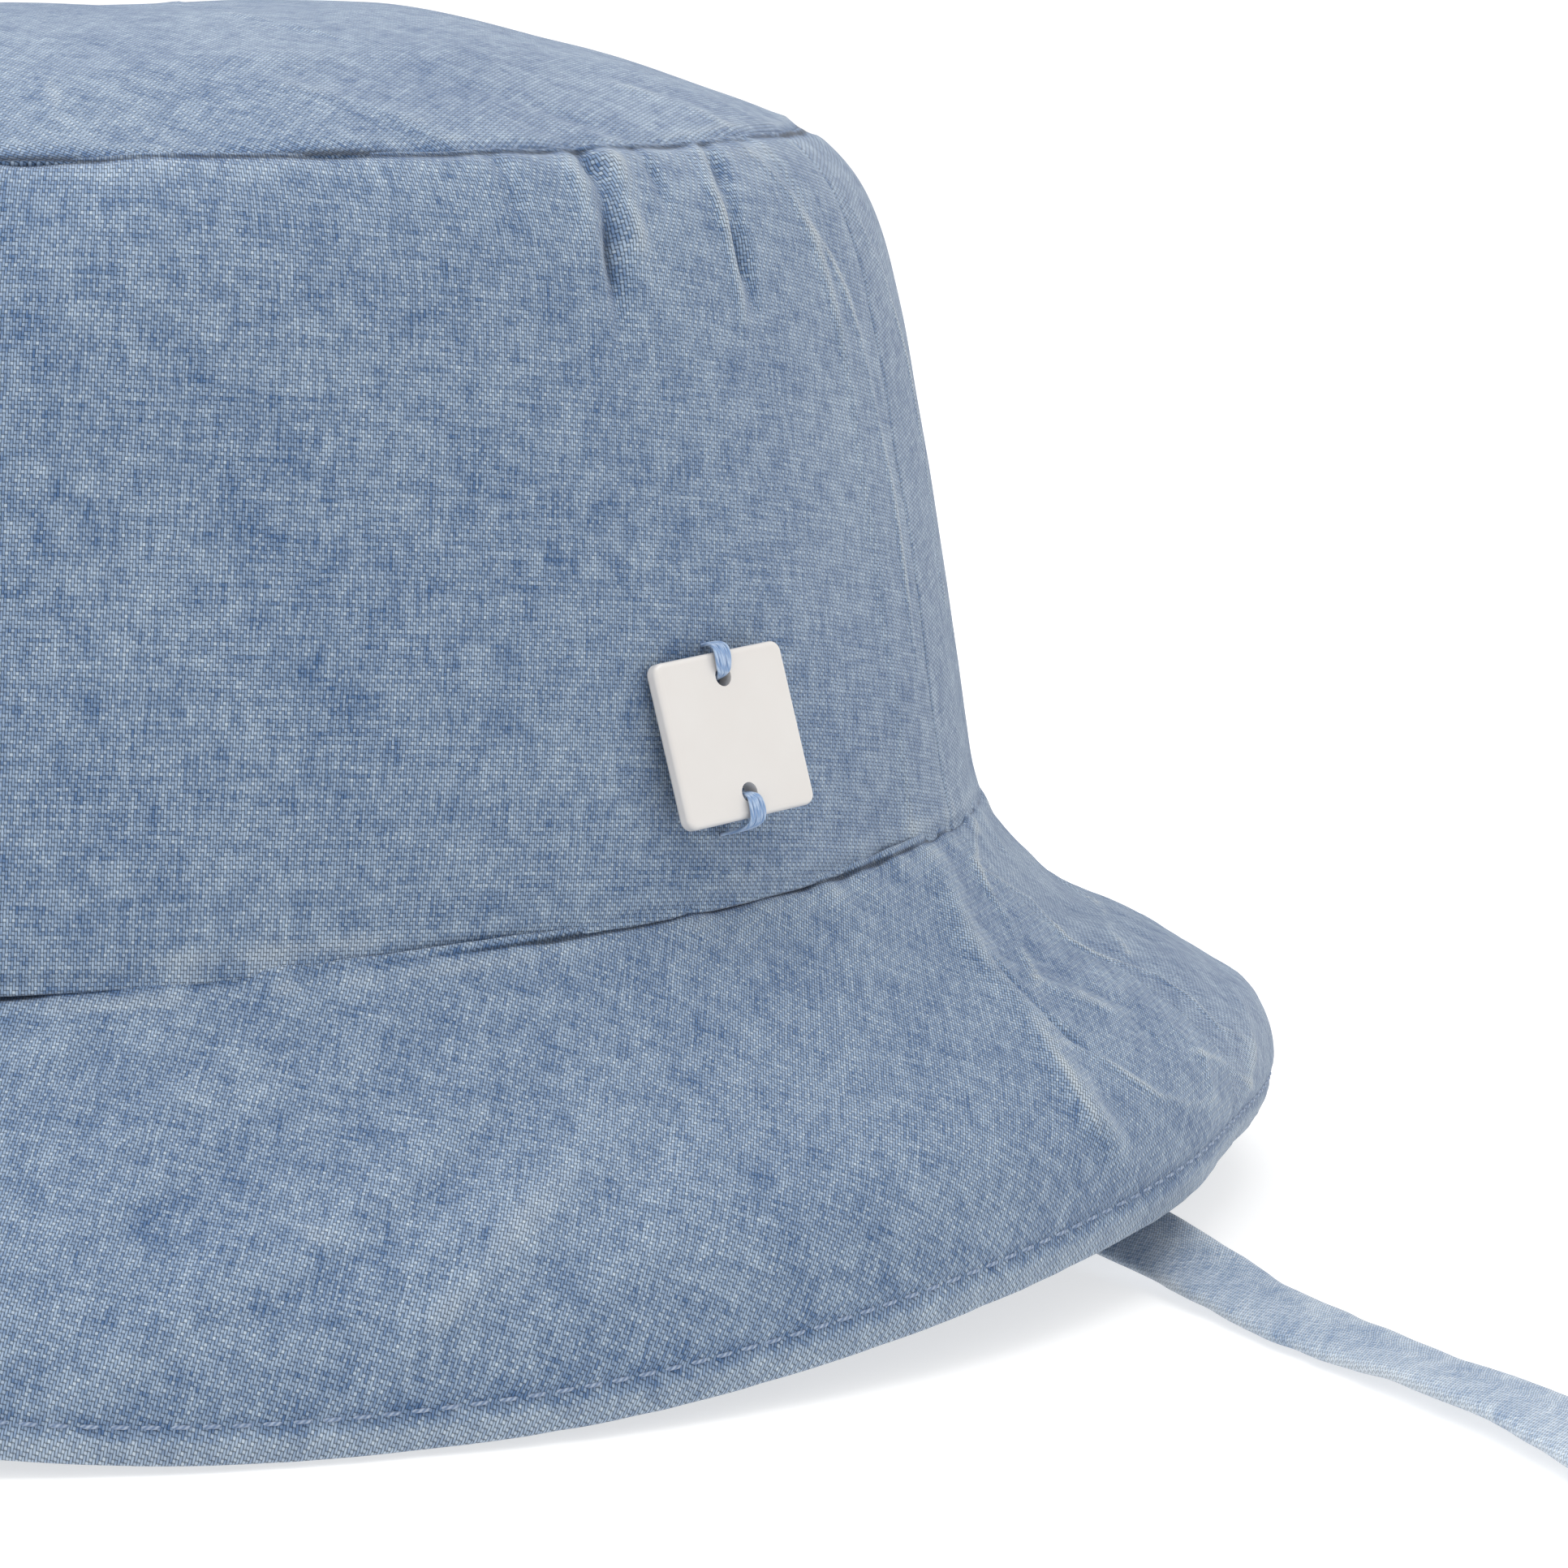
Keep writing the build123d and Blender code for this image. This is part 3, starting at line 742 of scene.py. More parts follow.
@dataclass
class Panel:
    """A cut piece of cloth on one surface, between two azimuths (in degrees) and two shares.

    Its columns stand closer together inside the fine span of azimuths.
    """

    name: str
    surface: Surface
    ply: Ply
    azimuths: tuple[float, float]
    shares: tuple[float, float] = (0.0, 1.0)
    columns: int = 320
    outside: int = 60
    inside: int = 18
    bunching: float = 0.6
    fine: tuple[float, float] = (56.0, 108.0)
    crowding: float = 3.2

    def turns(self) -> Grid:
        """Azimuths of the columns in radians, crowding times closer together inside the fine span."""
        even = np.linspace(*self.azimuths, 2000)
        low, high = self.fine
        inside = ease(low - 3, low, even) * ease(high + 3, high, even)
        dense = 1 + (self.crowding - 1) * inside
        count = np.concatenate([[0], np.cumsum((dense[1:] + dense[:-1]) / 2)])
        return np.radians(np.interp(np.linspace(0, count[-1], self.columns), count, even))

    def spread(self, count: int) -> Grid:
        """Shares from first to last, closer at both ends: x - bunching x sin(2 pi x) / (2 pi)."""
        x = np.linspace(0, 1, count)
        x = x - self.bunching * np.sin(TURN * x) / TURN
        return self.shares[0] + (self.shares[1] - self.shares[0]) * x

    def rounding(self) -> tuple[Grid, Grid]:
        """How far the half-round edge reaches past the cut, as shares, and how deep, as fractions."""
        turn = np.radians([20.0, 45.0, 75.0])
        reach = (self.ply.far - self.ply.near) / 2 / self.surface.length * np.sin(turn)
        return reach, (1 - np.cos(turn)) / 2

    def section(self) -> tuple[Grid, Grid]:
        """Share and depth fraction of the cut's closed outline, with half-round edges.

        Returns:
            Shares and fractions, once round: out along the outside and back along the inside.
        """
        reach, sunk = self.rounding()
        first, last = self.shares
        share = [(first - reach)[::-1], self.spread(self.outside), last + reach]
        fraction = [sunk[::-1], np.zeros(self.outside), sunk]
        share += [(last + reach)[::-1], self.spread(self.inside)[::-1], first - reach]
        fraction += [(1 - sunk)[::-1], np.ones(self.inside), 1 - sunk]
        return np.concatenate(share), np.concatenate(fraction)

    def build(self) -> bpy.types.Object:
        """Make the panel: its section is carried round from the first azimuth to the last."""
        share, fraction = self.section()
        azimuth, share = np.meshgrid(self.turns(), share, indexing="ij")
        lift, wear = self.surface.relief(azimuth, share)
        depth = self.ply.depth(share, fraction[None])
        points = self.surface.points(azimuth, share, depth, lift)
        middle = math.radians(sum(self.azimuths) / 2)
        return tube(points, self.surface.flat(azimuth, share, middle), wear).make(self.name)


@dataclass
class Disc(Panel):
    """A round piece of cloth over the tip, or a ring of it where its first share is over 0."""

    grain: float = 90.0

    def build(self) -> bpy.types.Object:
        """Make the disc: rings run from the middle out, round the edge, and back to the middle."""
        first, last = self.shares
        reach, sunk = self.rounding()
        start = max(first, 1.0 / self.outside)
        out = np.linspace(0, 1, self.outside)
        out = start + (last - start) * (out - self.bunching * (out - out ** 2))
        back = np.linspace(last, start, self.inside)
        share = np.concatenate([out, last + reach, (last + reach)[::-1], back])
        fraction = np.concatenate([0 * out, sunk, (1 - sunk)[::-1], 0 * back + 1])
        azimuth = np.linspace(0, TURN, self.columns, endpoint=False)
        share, azimuth = np.meshgrid(share, azimuth, indexing="ij")
        lift, wear = self.surface.relief(azimuth, share)
        depth = self.ply.depth(share, fraction[:, None])
        points = self.surface.points(azimuth, share, depth, lift)
        cloth = self.surface.flat(azimuth, share, math.radians(self.grain))
        rows, columns = points.shape[:2]
        if first > 0:
            quads = lattice(rows + 1, columns) % (rows * columns)
            return Shell(points, [quads], cloth, wear).make(self.name)
        poles = np.array([points[0].mean(0), points[-1].mean(0)])
        ring = np.arange(columns)
        last_ring = ring + (rows - 1) * columns
        top = np.stack([0 * ring + rows * columns, np.roll(ring, -1), ring], -1)
        under = np.stack([0 * ring + rows * columns + 1, last_ring, np.roll(last_ring, -1)], -1)
        return Shell(
            np.concatenate([points.reshape(-1, 3), poles]),
            [lattice(rows, columns), top, under],
            np.concatenate([cloth.reshape(-1, 2), np.zeros((2, 2))]),
            np.concatenate([wear.ravel(), [wear[0].mean(), wear[-1].mean()]]),
        ).make(self.name)


# ---- Finishes -----------------------------------------------------------------------------


class Weave(Enum):
    """Threads after which a weave repeats: plain is over one, under one; twill floats over two."""

    PLAIN = 2
    TWILL = 3


@dataclass(frozen=True)
class WovenCloth:
    """Woven cloth with its yarns drawn one by one from the cloth's own flat coordinates."""

    name: str
    weave: Weave
    warp_pitch: float
    weft_pitch: float
    warp_deep: str
    warp_pale: str
    weft_deep: str
    weft_pale: str
    faded: str
    # share of the colour that painted shade takes out of the gaps between yarns
    gap: float = 0.55
    mottling: float = 0.5
    slubs: float = 0.35
    # weight of the wear attribute on the tone, whose values below 0 are painted shade
    wear: float = 0.45
    bump: float = 0.5
    sheen: float = 0.25
    grain_turn: float = 0.0

    def yarns(self, tree: bpy.types.NodeTree) -> dict[str, bpy.types.NodeSocket]:
        """Draw the weave: which yarn is on top, how high it stands, and numbers for its shade.

        A point's flat coordinates are divided by the thread pitches. The whole parts number the
        warp and the weft, and the weft is on top where warp less weft divides by the repeat. A
        yarn's height is a parabola across it, times a parabola along its float.

        Args:
            tree: The material's nodes.

        Returns:
            Sockets: weft is 1 where the weft is on top, height is the yarn's, warp and pick are the
            yarns' numbers, across and along are in metres, and cell is random for each crossing.
        """
        math_, repeat = "ShaderNodeMath", self.weave.value
        uv = add(tree, "ShaderNodeUVMap", uv_map=CLOTH_UV)
        turned = add(tree, "ShaderNodeMapping", {"Vector": uv, "Rotation": (0, 0, self.grain_turn)})
        stray = add(tree, "ShaderNodeTexNoise", {"Vector": turned, "Scale": 420.0, "Detail": 2.0})
        flat = add(tree, "ShaderNodeVectorMath",
                   {0: stray.outputs["Color"], 1: (0.16 * MM, 0.16 * MM, 0), 2: turned},
                   operation="MULTIPLY_ADD")
        part = add(tree, "ShaderNodeSeparateXYZ", {0: flat})
        a = add(tree, math_, {0: part.outputs[0], 1: 1 / self.warp_pitch}, operation="MULTIPLY")
        b = add(tree, math_, {0: part.outputs[1], 1: 1 / self.weft_pitch}, operation="MULTIPLY")
        warp, weft = add(tree, math_, {0: a}, operation="FLOOR"), add(tree, math_, {0: b}, operation="FLOOR")
        fa, fb = add(tree, math_, {0: a}, operation="FRACT"), add(tree, math_, {0: b}, operation="FRACT")
        apart = add(tree, math_, {0: warp, 1: weft}, operation="SUBTRACT")
        phase = add(tree, math_, {0: apart, 1: repeat}, operation="FLOORED_MODULO")
        weft_up = add(tree, math_, {0: phase, 1: 0.5}, operation="LESS_THAN")
        behind = add(tree, math_, {0: fb, 1: phase}, operation="SUBTRACT")
        along = add(tree, math_, {0: behind, 1: 1 / (repeat - 1), 2: 1.0}, operation="MULTIPLY_ADD")
        bows = []
        for place in (fa, fb, along):
            rest = add(tree, math_, {0: 1.0, 1: place}, operation="SUBTRACT")
            bow = add(tree, math_, {0: place, 1: rest}, operation="MULTIPLY")
            bows.append(add(tree, math_, {0: bow, 1: 4.0}, operation="MULTIPLY", use_clamp=True))
        crown = add(tree, math_, {0: bows[2], 1: 0.5, 2: 0.5}, operation="MULTIPLY_ADD")
        saddle = add(tree, math_, {0: bows[0], 1: 0.5, 2: 0.5}, operation="MULTIPLY_ADD")
        warp_high = add(tree, math_, {0: bows[0], 1: crown}, operation="MULTIPLY")
        weft_high = add(tree, math_, {0: bows[1], 1: saddle}, operation="MULTIPLY")
        height = add(tree, "ShaderNodeMix", {0: weft_up, 2: warp_high, 3: weft_high})
        pair = add(tree, "ShaderNodeCombineXYZ", {0: warp, 1: weft})
        cell = add(tree, "ShaderNodeTexWhiteNoise", {"Vector": pair}, noise_dimensions="2D")
        return {"weft": weft_up.outputs[0], "height": height.outputs[0], "warp": warp.outputs[0],
                "pick": weft.outputs[0], "across": part.outputs[0], "along": part.outputs[1],
                "cell": cell.outputs[0]}

    def build(self) -> bpy.types.Material:
        """Make the material.

        Tone is the sum of yarn streaks, slubs, mottling and the wear attribute, each times its weight,
        and blends both yarns from deep to pale; the wear attribute's values below 0 are painted shade.
        Worn cloth goes over to the faded colour, and the gaps between yarns and the bottoms of the
        creases and sewn seams are darkened with painted shade.

        Returns:
            The material.
        """
        material, tree, shader = blank_material(self.name)
        math_, noise, mix = "ShaderNodeMath", "ShaderNodeTexNoise", "ShaderNodeMix"
        yarn = self.yarns(tree)
        per_yarn, streak, slub_width, slub_length = 0.71, 4 * MM, 1.3 * MM, 9 * MM
        parts = []
        # streaks along the warp and along the weft, then slubs
        for first, each, second, every, shift, detail, weight in (
            ("warp", per_yarn, "along", 1 / streak, 0.0, 1.0, 0.45),
            ("across", 1 / streak, "pick", per_yarn, 7.0, 1.0, 0.4),
            ("across", 1 / slub_width, "along", 1 / slub_length, 0.0, 3.0, self.slubs),
        ):
            x = add(tree, math_, {0: yarn[first], 1: each}, operation="MULTIPLY")
            y = add(tree, math_, {0: yarn[second], 1: every}, operation="MULTIPLY")
            spot = add(tree, "ShaderNodeCombineXYZ", {0: x, 1: y, 2: shift})
            parts.append((add(tree, noise, {"Vector": spot, "Scale": 1.0, "Detail": detail}), weight))
        place = add(tree, "ShaderNodeTexCoord").outputs["Object"]
        clouds = {"Vector": place, "Scale": 62.0, "Detail": 4.0, "Roughness": 0.62}
        parts += [(add(tree, noise, clouds), self.mottling),
                  (add(tree, noise, {"Vector": place, "Scale": 420.0, "Detail": 3.0}), 0.38)]
        # the wear attribute: worn cloth above 0, painted shade of valleys and sewn grooves below 0
        worn = add(tree, "ShaderNodeAttribute", attribute_name=WEAR_AND_SHADE).outputs["Fac"]
        tone = add(tree, math_, {0: worn, 1: self.wear, 2: 0.5}, operation="MULTIPLY_ADD")
        for source, weight in parts:
            centred = add(tree, math_, {0: source, 1: 0.5}, operation="SUBTRACT")
            tone = add(tree, math_, {0: centred, 1: 2 * weight, 2: tone}, operation="MULTIPLY_ADD")
        speck = add(tree, math_, {0: yarn["cell"], 1: 0.4, 2: -0.2}, operation="MULTIPLY_ADD")
        tone = add(tree, math_, {0: tone, 1: speck}, operation="ADD", use_clamp=True)
        bare = add(tree, "ShaderNodeMapRange", {0: worn, 1: 0.25, 2: 1.0, 3: 0.0, 4: 0.75})
        warp, weft = [
            add(tree, mix, {0: tone, 6: linear(deep), 7: linear(pale)}, data_type="RGBA").outputs[2]
            for deep, pale in ((self.warp_deep, self.warp_pale), (self.weft_deep, self.weft_pale))]
        cloth = add(tree, mix, {0: yarn["weft"], 6: warp, 7: weft}, data_type="RGBA").outputs[2]
        cloth = add(tree, mix, {0: bare, 6: cloth, 7: linear(self.faded)}, data_type="RGBA")
        # painted shade: the colour darkens where the yarns are low, in the gaps between them
        lit = {0: yarn["height"], 1: 0.05, 2: 0.75, 3: 1 - self.gap, 4: 1.0}
        shade = add(tree, "ShaderNodeMapRange", lit)
        # painted shadow: where the wear attribute is far below 0, in sewn seams and crease bottoms, the
        # colour is darkened further
        sunk = add(tree, "ShaderNodeMapRange", {0: worn, 1: -0.95, 2: -0.45, 3: 0.3, 4: 1.0})
        shade = add(tree, math_, {0: shade, 1: sunk}, operation="MULTIPLY")
        cloth = add(tree, "ShaderNodeVectorMath", {0: cloth.outputs[2], 3: shade}, operation="SCALE")
        rough = add(tree, math_, {0: yarn["height"], 1: -0.1, 2: 0.95}, operation="MULTIPLY_ADD")
        relief = {"Height": yarn["height"], "Strength": self.bump, "Distance": 0.08 * MM}
        bump = add(tree, "ShaderNodeBump", relief)
        feed(tree, shader, {"Base Color": cloth, "Roughness": rough, "Normal": bump,
                            "Sheen Weight": self.sheen, "Sheen Roughness": 0.5,
                            "Specular IOR Level": 0.15})
        return material


@dataclass(frozen=True)
class GlazedCeramic:
    """Glazed earthenware: a warm white body under a clear, slightly rippled glaze."""

    name: str = "glazed_ceramic"
    body: str = "#dfdcd9"
    pooled: str = "#d8d3ce"

    def build(self) -> bpy.types.Material:
        """Make the material: glaze pools in faint clouds, and ripples bend its gloss."""
        material, tree, shader = blank_material(self.name)
        place = add(tree, "ShaderNodeTexCoord").outputs["Object"]
        cloud = add(tree, "ShaderNodeTexNoise", {"Vector": place, "Scale": 160.0, "Detail": 3.0})
        colour = add(tree, "ShaderNodeMix", {0: cloud, 6: linear(self.body), 7: linear(self.pooled)},
                     data_type="RGBA")
        rough = add(tree, "ShaderNodeMapRange", {0: cloud, 3: 0.1, 4: 0.2})
        ripple = add(tree, "ShaderNodeTexNoise", {"Vector": place, "Scale": 420.0})
        bump = add(tree, "ShaderNodeBump", {"Height": ripple, "Strength": 0.08, "Distance": 0.1 * MM})
        feed(tree, shader, {"Base Color": colour.outputs[2], "Roughness": rough, "Normal": bump,
                            "Coat Weight": 0.6, "Coat Roughness": 0.05})
        return material


@dataclass(frozen=True)
class TwistedThread:
    """Cotton sewing thread: fine strands laid round each other, seen as slanting bars, their grooves darkened
    with painted shade.
    """

    name: str
    deep: str
    pale: str
    twist: float = 0.5 * MM

    def build(self) -> bpy.types.Material:
        """Make the material: a sine wave of (length / twist + turns) bumps the strands and paints shade into
        the grooves between them.
        """
        material, tree, shader = blank_material(self.name)
        math_ = "ShaderNodeMath"
        part = add(tree, "ShaderNodeSeparateXYZ", {0: add(tree, "ShaderNodeUVMap", uv_map=CLOTH_UV)})
        along = add(tree, math_, {0: part.outputs[0], 1: TURN / self.twist}, operation="MULTIPLY")
        turned = add(tree, math_, {0: part.outputs[1], 1: 2 * TURN, 2: along}, operation="MULTIPLY_ADD")
        wave = add(tree, math_, {0: turned}, operation="SINE")
        strand = add(tree, math_, {0: wave, 1: 0.5, 2: 0.5}, operation="MULTIPLY_ADD")
        place = add(tree, "ShaderNodeTexCoord").outputs["Object"]
        fibre = add(tree, "ShaderNodeTexNoise", {"Vector": place, "Scale": 2600.0, "Detail": 2.0})
        tone = add(tree, math_, {0: strand, 1: fibre}, operation="MULTIPLY")
        tone = add(tree, math_, {0: tone, 1: 1.8}, operation="MULTIPLY", use_clamp=True)
        # painted shade: the colour runs from deep in the grooves between strands to pale on their crests
        colour = add(tree, "ShaderNodeMix", {0: tone, 6: linear(self.deep), 7: linear(self.pale)},
                     data_type="RGBA")
        rough = add(tree, math_, {0: fibre, 1: 0.2, 2: 0.7}, operation="MULTIPLY_ADD")
        bump = add(tree, "ShaderNodeBump", {"Height": strand, "Strength": 0.5, "Distance": 0.05 * MM})
        feed(tree, shader, {"Base Color": colour.outputs[2], "Roughness": rough, "Normal": bump,
                            "Sheen Weight": 0.3})
        return material


@dataclass(frozen=True)
class BacklitFloor:
    """Matt studio floor with a glow of its own, so that shadows on it stay faint."""

    name: str = "backlit_floor"
    glow: float = 0.62

    def build(self) -> bpy.types.Material:
        """Make the material: slow clouds of pale grey under an even glow."""
        material, tree, shader = blank_material(self.name)
        place = add(tree, "ShaderNodeTexCoord").outputs["Object"]
        cloud = add(tree, "ShaderNodeTexNoise", {"Vector": place, "Scale": 3.0})
        colour = add(tree, "ShaderNodeMix", {0: cloud, 6: linear("#b9b9b8"), 7: linear("#bdbdbd")},
                     data_type="RGBA")
        feed(tree, shader, {"Base Color": colour.outputs[2], "Roughness": 0.9,
                            "Specular IOR Level": 0.1, "Emission Color": linear("#ffffff"),
                            "Emission Strength": self.glow})
        return material


@dataclass
class Wardrobe:
    """Every finish of the hat, made once and shared."""

    twill: WovenCloth = WovenCloth(
        # washed denim-blue twill, 2 over 1: blue warp, white weft in slanting points, faded by washing
        "washed_cotton_twill", Weave.TWILL, 0.215 * MM, 0.31 * MM,
        "#4e6c95", "#a2b5cb", "#5a779d", "#b6c5d4", "#bec6cc", slubs=0.1, mottling=0.26, gap=0.87)
    tie_twill: WovenCloth = WovenCloth(
        # the same cloth, cut on the bias for the tie and worn paler and softer
        "washed_twill_on_the_bias", Weave.TWILL, 0.215 * MM, 0.31 * MM,
        "#6f8bae", "#bccad9", "#7f97b5", "#c8d2dc", "#cdd3d8", sheen=0.4, grain_turn=0.8, wear=0.4, gap=0.65)
    lining: WovenCloth = WovenCloth(
        # thin cotton lawn lining, plain weave
        "cotton_lawn", Weave.PLAIN, 0.25 * MM, 0.25 * MM,
        "#9fb0c6", "#c9d3df", "#b4c1d1", "#dde3ea", "#e2e7ec", gap=0.35, mottling=0.2, slubs=0.15)
    stiffener: WovenCloth = WovenCloth(
        # open plain-woven cotton stiffener inside the brim
        "buckram", Weave.PLAIN, 0.6 * MM, 0.6 * MM,
        "#d9d4c8", "#ece8df", "#d4cfc4", "#efece5", "#f2efe9", gap=0.5, mottling=0.15, slubs=0.1)
    tape: WovenCloth = WovenCloth(
        # cotton seam tape in a fine twill
        "cotton_twill_tape", Weave.TWILL, 0.3 * MM, 0.35 * MM,
        "#b8c4d3", "#dbe2ea", "#c6cfdb", "#e9edf1", "#eef1f4", gap=0.4, mottling=0.12, slubs=0.1)
    satin: WovenCloth = WovenCloth(
        # woven label, left blank
        "satin_label", Weave.TWILL, 0.12 * MM, 0.16 * MM,
        "#e9e7e2", "#f6f5f2", "#e4e2dd", "#f8f7f5", "#faf9f7", gap=0.2, mottling=0.08, slubs=0.06, sheen=0.5)
    # each thread's deep colour is painted shade in the grooves of its twist
    sewing: TwistedThread = TwistedThread("cotton_sewing_thread", "#64799a", "#a3b1c4")
    tag_thread: TwistedThread = TwistedThread("embroidery_cotton", "#7b98c0", "#adc1da", 1.1 * MM)
    ceramic: GlazedCeramic = GlazedCeramic()
    made: dict[str, bpy.types.Material] = field(default_factory=dict)

    def wear(self, piece: bpy.types.Object, finish: object, slot: str) -> None:
        """Dress a piece in a finish.

        Args:
            piece: The object.
            finish: One of this wardrobe's finishes.
            slot: Not used.
        """
        if finish.name not in self.made:
            self.made[finish.name] = finish.build()
        piece.data.materials.clear()
        piece.data.materials.append(self.made[finish.name])


# ---- Sub-assemblies -----------------------------------------------------------------------

FRONT = (-90.0, 90.0)
BACK = (90.0, 270.0)
ALL_ROUND = (-179.6, 179.6)


@dataclass
class SubAssembly(ABC):
    """A part of the hat that is built, dressed and hung on the hat's body in one go."""

    form: HatForm
    wardrobe: Wardrobe

    def place(self, piece: bpy.types.Object, finish: object, slot: str, *nodes: str,
              body: str = "hat") -> None:
        """Dress a piece, hang it on a body and let it stand for its CAD nodes.

        Args:
            piece: The object.
            finish: Its finish.
            slot: The record's material slot.
            nodes: CAD nodes that it replaces.
            body: The body that it rides on.
        """
        self.wardrobe.wear(piece, finish, slot)
        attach(piece, body)
        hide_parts(*nodes)
        log.info("%s: %d faces", piece.name, len(piece.data.polygons))

    @abstractmethod
    def build(self) -> None:
        """Make every piece of the sub-assembly."""


@dataclass
class Crown(SubAssembly):
    """Tip and band, with their seam allowances and linings.

    Tuck is how far, as a share, the band goes under the head seam. The tip's lining and its seam
    allowance end at the rim's share.
    """

    outer: Ply = Ply(0.0, 0.8 * MM)
    allowance: Ply = Ply(0.95 * MM, 1.5 * MM)
    lining: Ply = Ply(1.7 * MM, 2.2 * MM)
    allowance_half_angle: float = 7.0
    side_allowance_shares: tuple[float, float] = (0.03, 0.84)
    tip_allowance_start: float = 0.87
    tip_rim: float = 0.985
    tuck: float = 0.008

    def build(self) -> None:
        """Make the tip, both band halves, three linings and three allowances."""
        band, tip, dress = Band(self.form), Tip(self.form), self.wardrobe
        for half, azimuths in (("front", FRONT), ("back", BACK)):
            shares = (-self.tuck, 1.0)
            piece = Panel(f"band_{half}", band, self.outer, azimuths, shares, 520, 84).build()
            self.place(piece, dress.twill, "washed_twill", f"crown_band_{half}")
            piece = Panel(f"band_lining_{half}", band, self.lining, azimuths, columns=220, outside=44).build()
            self.place(piece, dress.lining, "lining", f"lining_band_{half}")
        piece = Disc("tip", tip, self.outer, FRONT, columns=520, outside=76, inside=20).build()
        self.place(piece, dress.twill, "washed_twill", "crown_tip")
        shares = (0.0, self.tip_rim)
        piece = Disc("tip_lining", tip, self.lining, FRONT, shares, columns=300, outside=40).build()
        self.place(piece, dress.lining, "lining", "lining_tip")
        shares = (self.tip_allowance_start, self.tip_rim)
        piece = Disc("tip_allowance", tip, self.allowance, FRONT, shares, 300, 12, 6).build()
        self.place(piece, dress.twill, "washed_twill", "tip_seam_allowance")
        for hand, seam in (("left", 90.0), ("right", 270.0)):
            azimuths = (seam - self.allowance_half_angle, seam + self.allowance_half_angle)
            name, shares = f"side_allowance_{hand}", self.side_allowance_shares
            piece = Panel(name, band, self.allowance, azimuths, shares, 24, 44).build()
            self.place(piece, dress.twill, "washed_twill", f"side_seam_allowance_{hand}")


@dataclass
class BrimPlies(SubAssembly):
    """Both plies of the brim, the stiffener between them and the stitching near the edge.

    Tuck is how far, as a share, the upper ply goes under the band at the head seam.
    """

    upper: Ply = Ply(0.0, 0.7 * MM, edge_far=1.1 * MM)
    stiffener: Ply = Ply(0.85 * MM, 1.35 * MM)
    under: Ply = Ply(1.5 * MM, 2.2 * MM, edge_near=1.25 * MM)
    stiffener_shares: tuple[float, float] = (0.02, 0.955)
    tuck: float = 0.012
    stitch_pitch: float = 2.1 * MM
    stitch_length: float = 1.55 * MM
    thread_radius: float = 0.16 * MM

    def build(self) -> None:
        """Make the plies of each half, then the stitches on both faces."""
        brim, dress = Brim(self.form), self.wardrobe
        for half, azimuths in (("front", FRONT), ("back", BACK)):
            shares = (-self.tuck, 1.0)
            piece = Panel(f"brim_top_{half}", brim, self.upper, azimuths, shares, 680, 92).build()
            self.place(piece, dress.twill, "washed_twill", f"brim_upper_{half}")
            name = f"brim_underside_{half}"
            piece = Panel(name, brim, self.under, azimuths, columns=400, outside=56).build()
            self.place(piece, dress.twill, "washed_twill", f"brim_under_{half}")
            name, shares = f"brim_stiffener_{half}", self.stiffener_shares
            piece = Panel(name, brim, self.stiffener, azimuths, shares, 220, 30).build()
            self.place(piece, dress.stiffener, "interlining", f"brim_interlining_{half}")
        self.place(self.stitches(brim), dress.sewing, "stitching_thread", "brim_edge_stitching")

    def stitches(self, brim: Brim) -> bpy.types.Object:
        """Make the row of stitches as one mesh.

        Each stitch is a five-ring tube of six sides whose ends sink into the cloth: its depth
        is a fourth power of the place along it, and its rings follow the brim round.

        Args:
            brim: The brim's surface.

        Returns:
            The object.
        """
        row_radius = brim.profile(np.zeros(1), np.full(1, brim.stitch_share))[0][0]
        count = round(TURN * row_radius / self.stitch_pitch)
        starts = np.arange(count) * TURN / count
        place = np.linspace(-1, 1, 5)
        shells = []
        for depth, side in ((0.0, -1.0), (self.under.far, 1.0)):
            azimuth = starts[:, None] + place * self.stitch_length / 2 / row_radius
            share = np.full(azimuth.shape, brim.stitch_share)
            lift = brim.relief(azimuth, share)[0]
            sink = side * self.thread_radius * (0.45 - 1.5 * place ** 4)
            middle = brim.points(azimuth, share, depth + sink, lift)
            normal = brim.points(azimuth, share, depth + sink - 0.1 * MM, lift) - middle
            normal /= np.linalg.norm(normal, axis=-1, keepdims=True)
            ahead = np.stack([np.cos(azimuth), np.sin(azimuth), 0 * azimuth], -1)
            across = np.cross(normal, ahead)
            turn = np.arange(6) * TURN / 6
            thick = self.thread_radius * (1 - 0.25 * place ** 2)[None, :, None, None]
            ring = np.cos(turn)[:, None] * across[..., None, :] + np.sin(turn)[:, None] * normal[..., None, :]
            shells.append(middle[..., None, :] + thick * ring)
        points = np.concatenate(shells)
        total = len(points)
        offsets = (np.arange(total) * 30)[:, None, None]
        sides = (lattice(5, 6)[None] + offsets).reshape(-1, 4)
        start = (np.arange(6)[None, ::-1] + offsets[:, 0]).reshape(-1, 6)
        end = (np.arange(6)[None] + 24 + offsets[:, 0]).reshape(-1, 6)
        along = np.broadcast_to(place[None, :, None] * self.stitch_length / 2, (total, 5, 6))
        around = np.broadcast_to(np.arange(6)[None, None] / 6, (total, 5, 6))
        cloth = np.stack([along, around], -1)
        return Shell(points, [sides, start, end], cloth, np.zeros(points.shape[:-1])).make("edge_stitches")


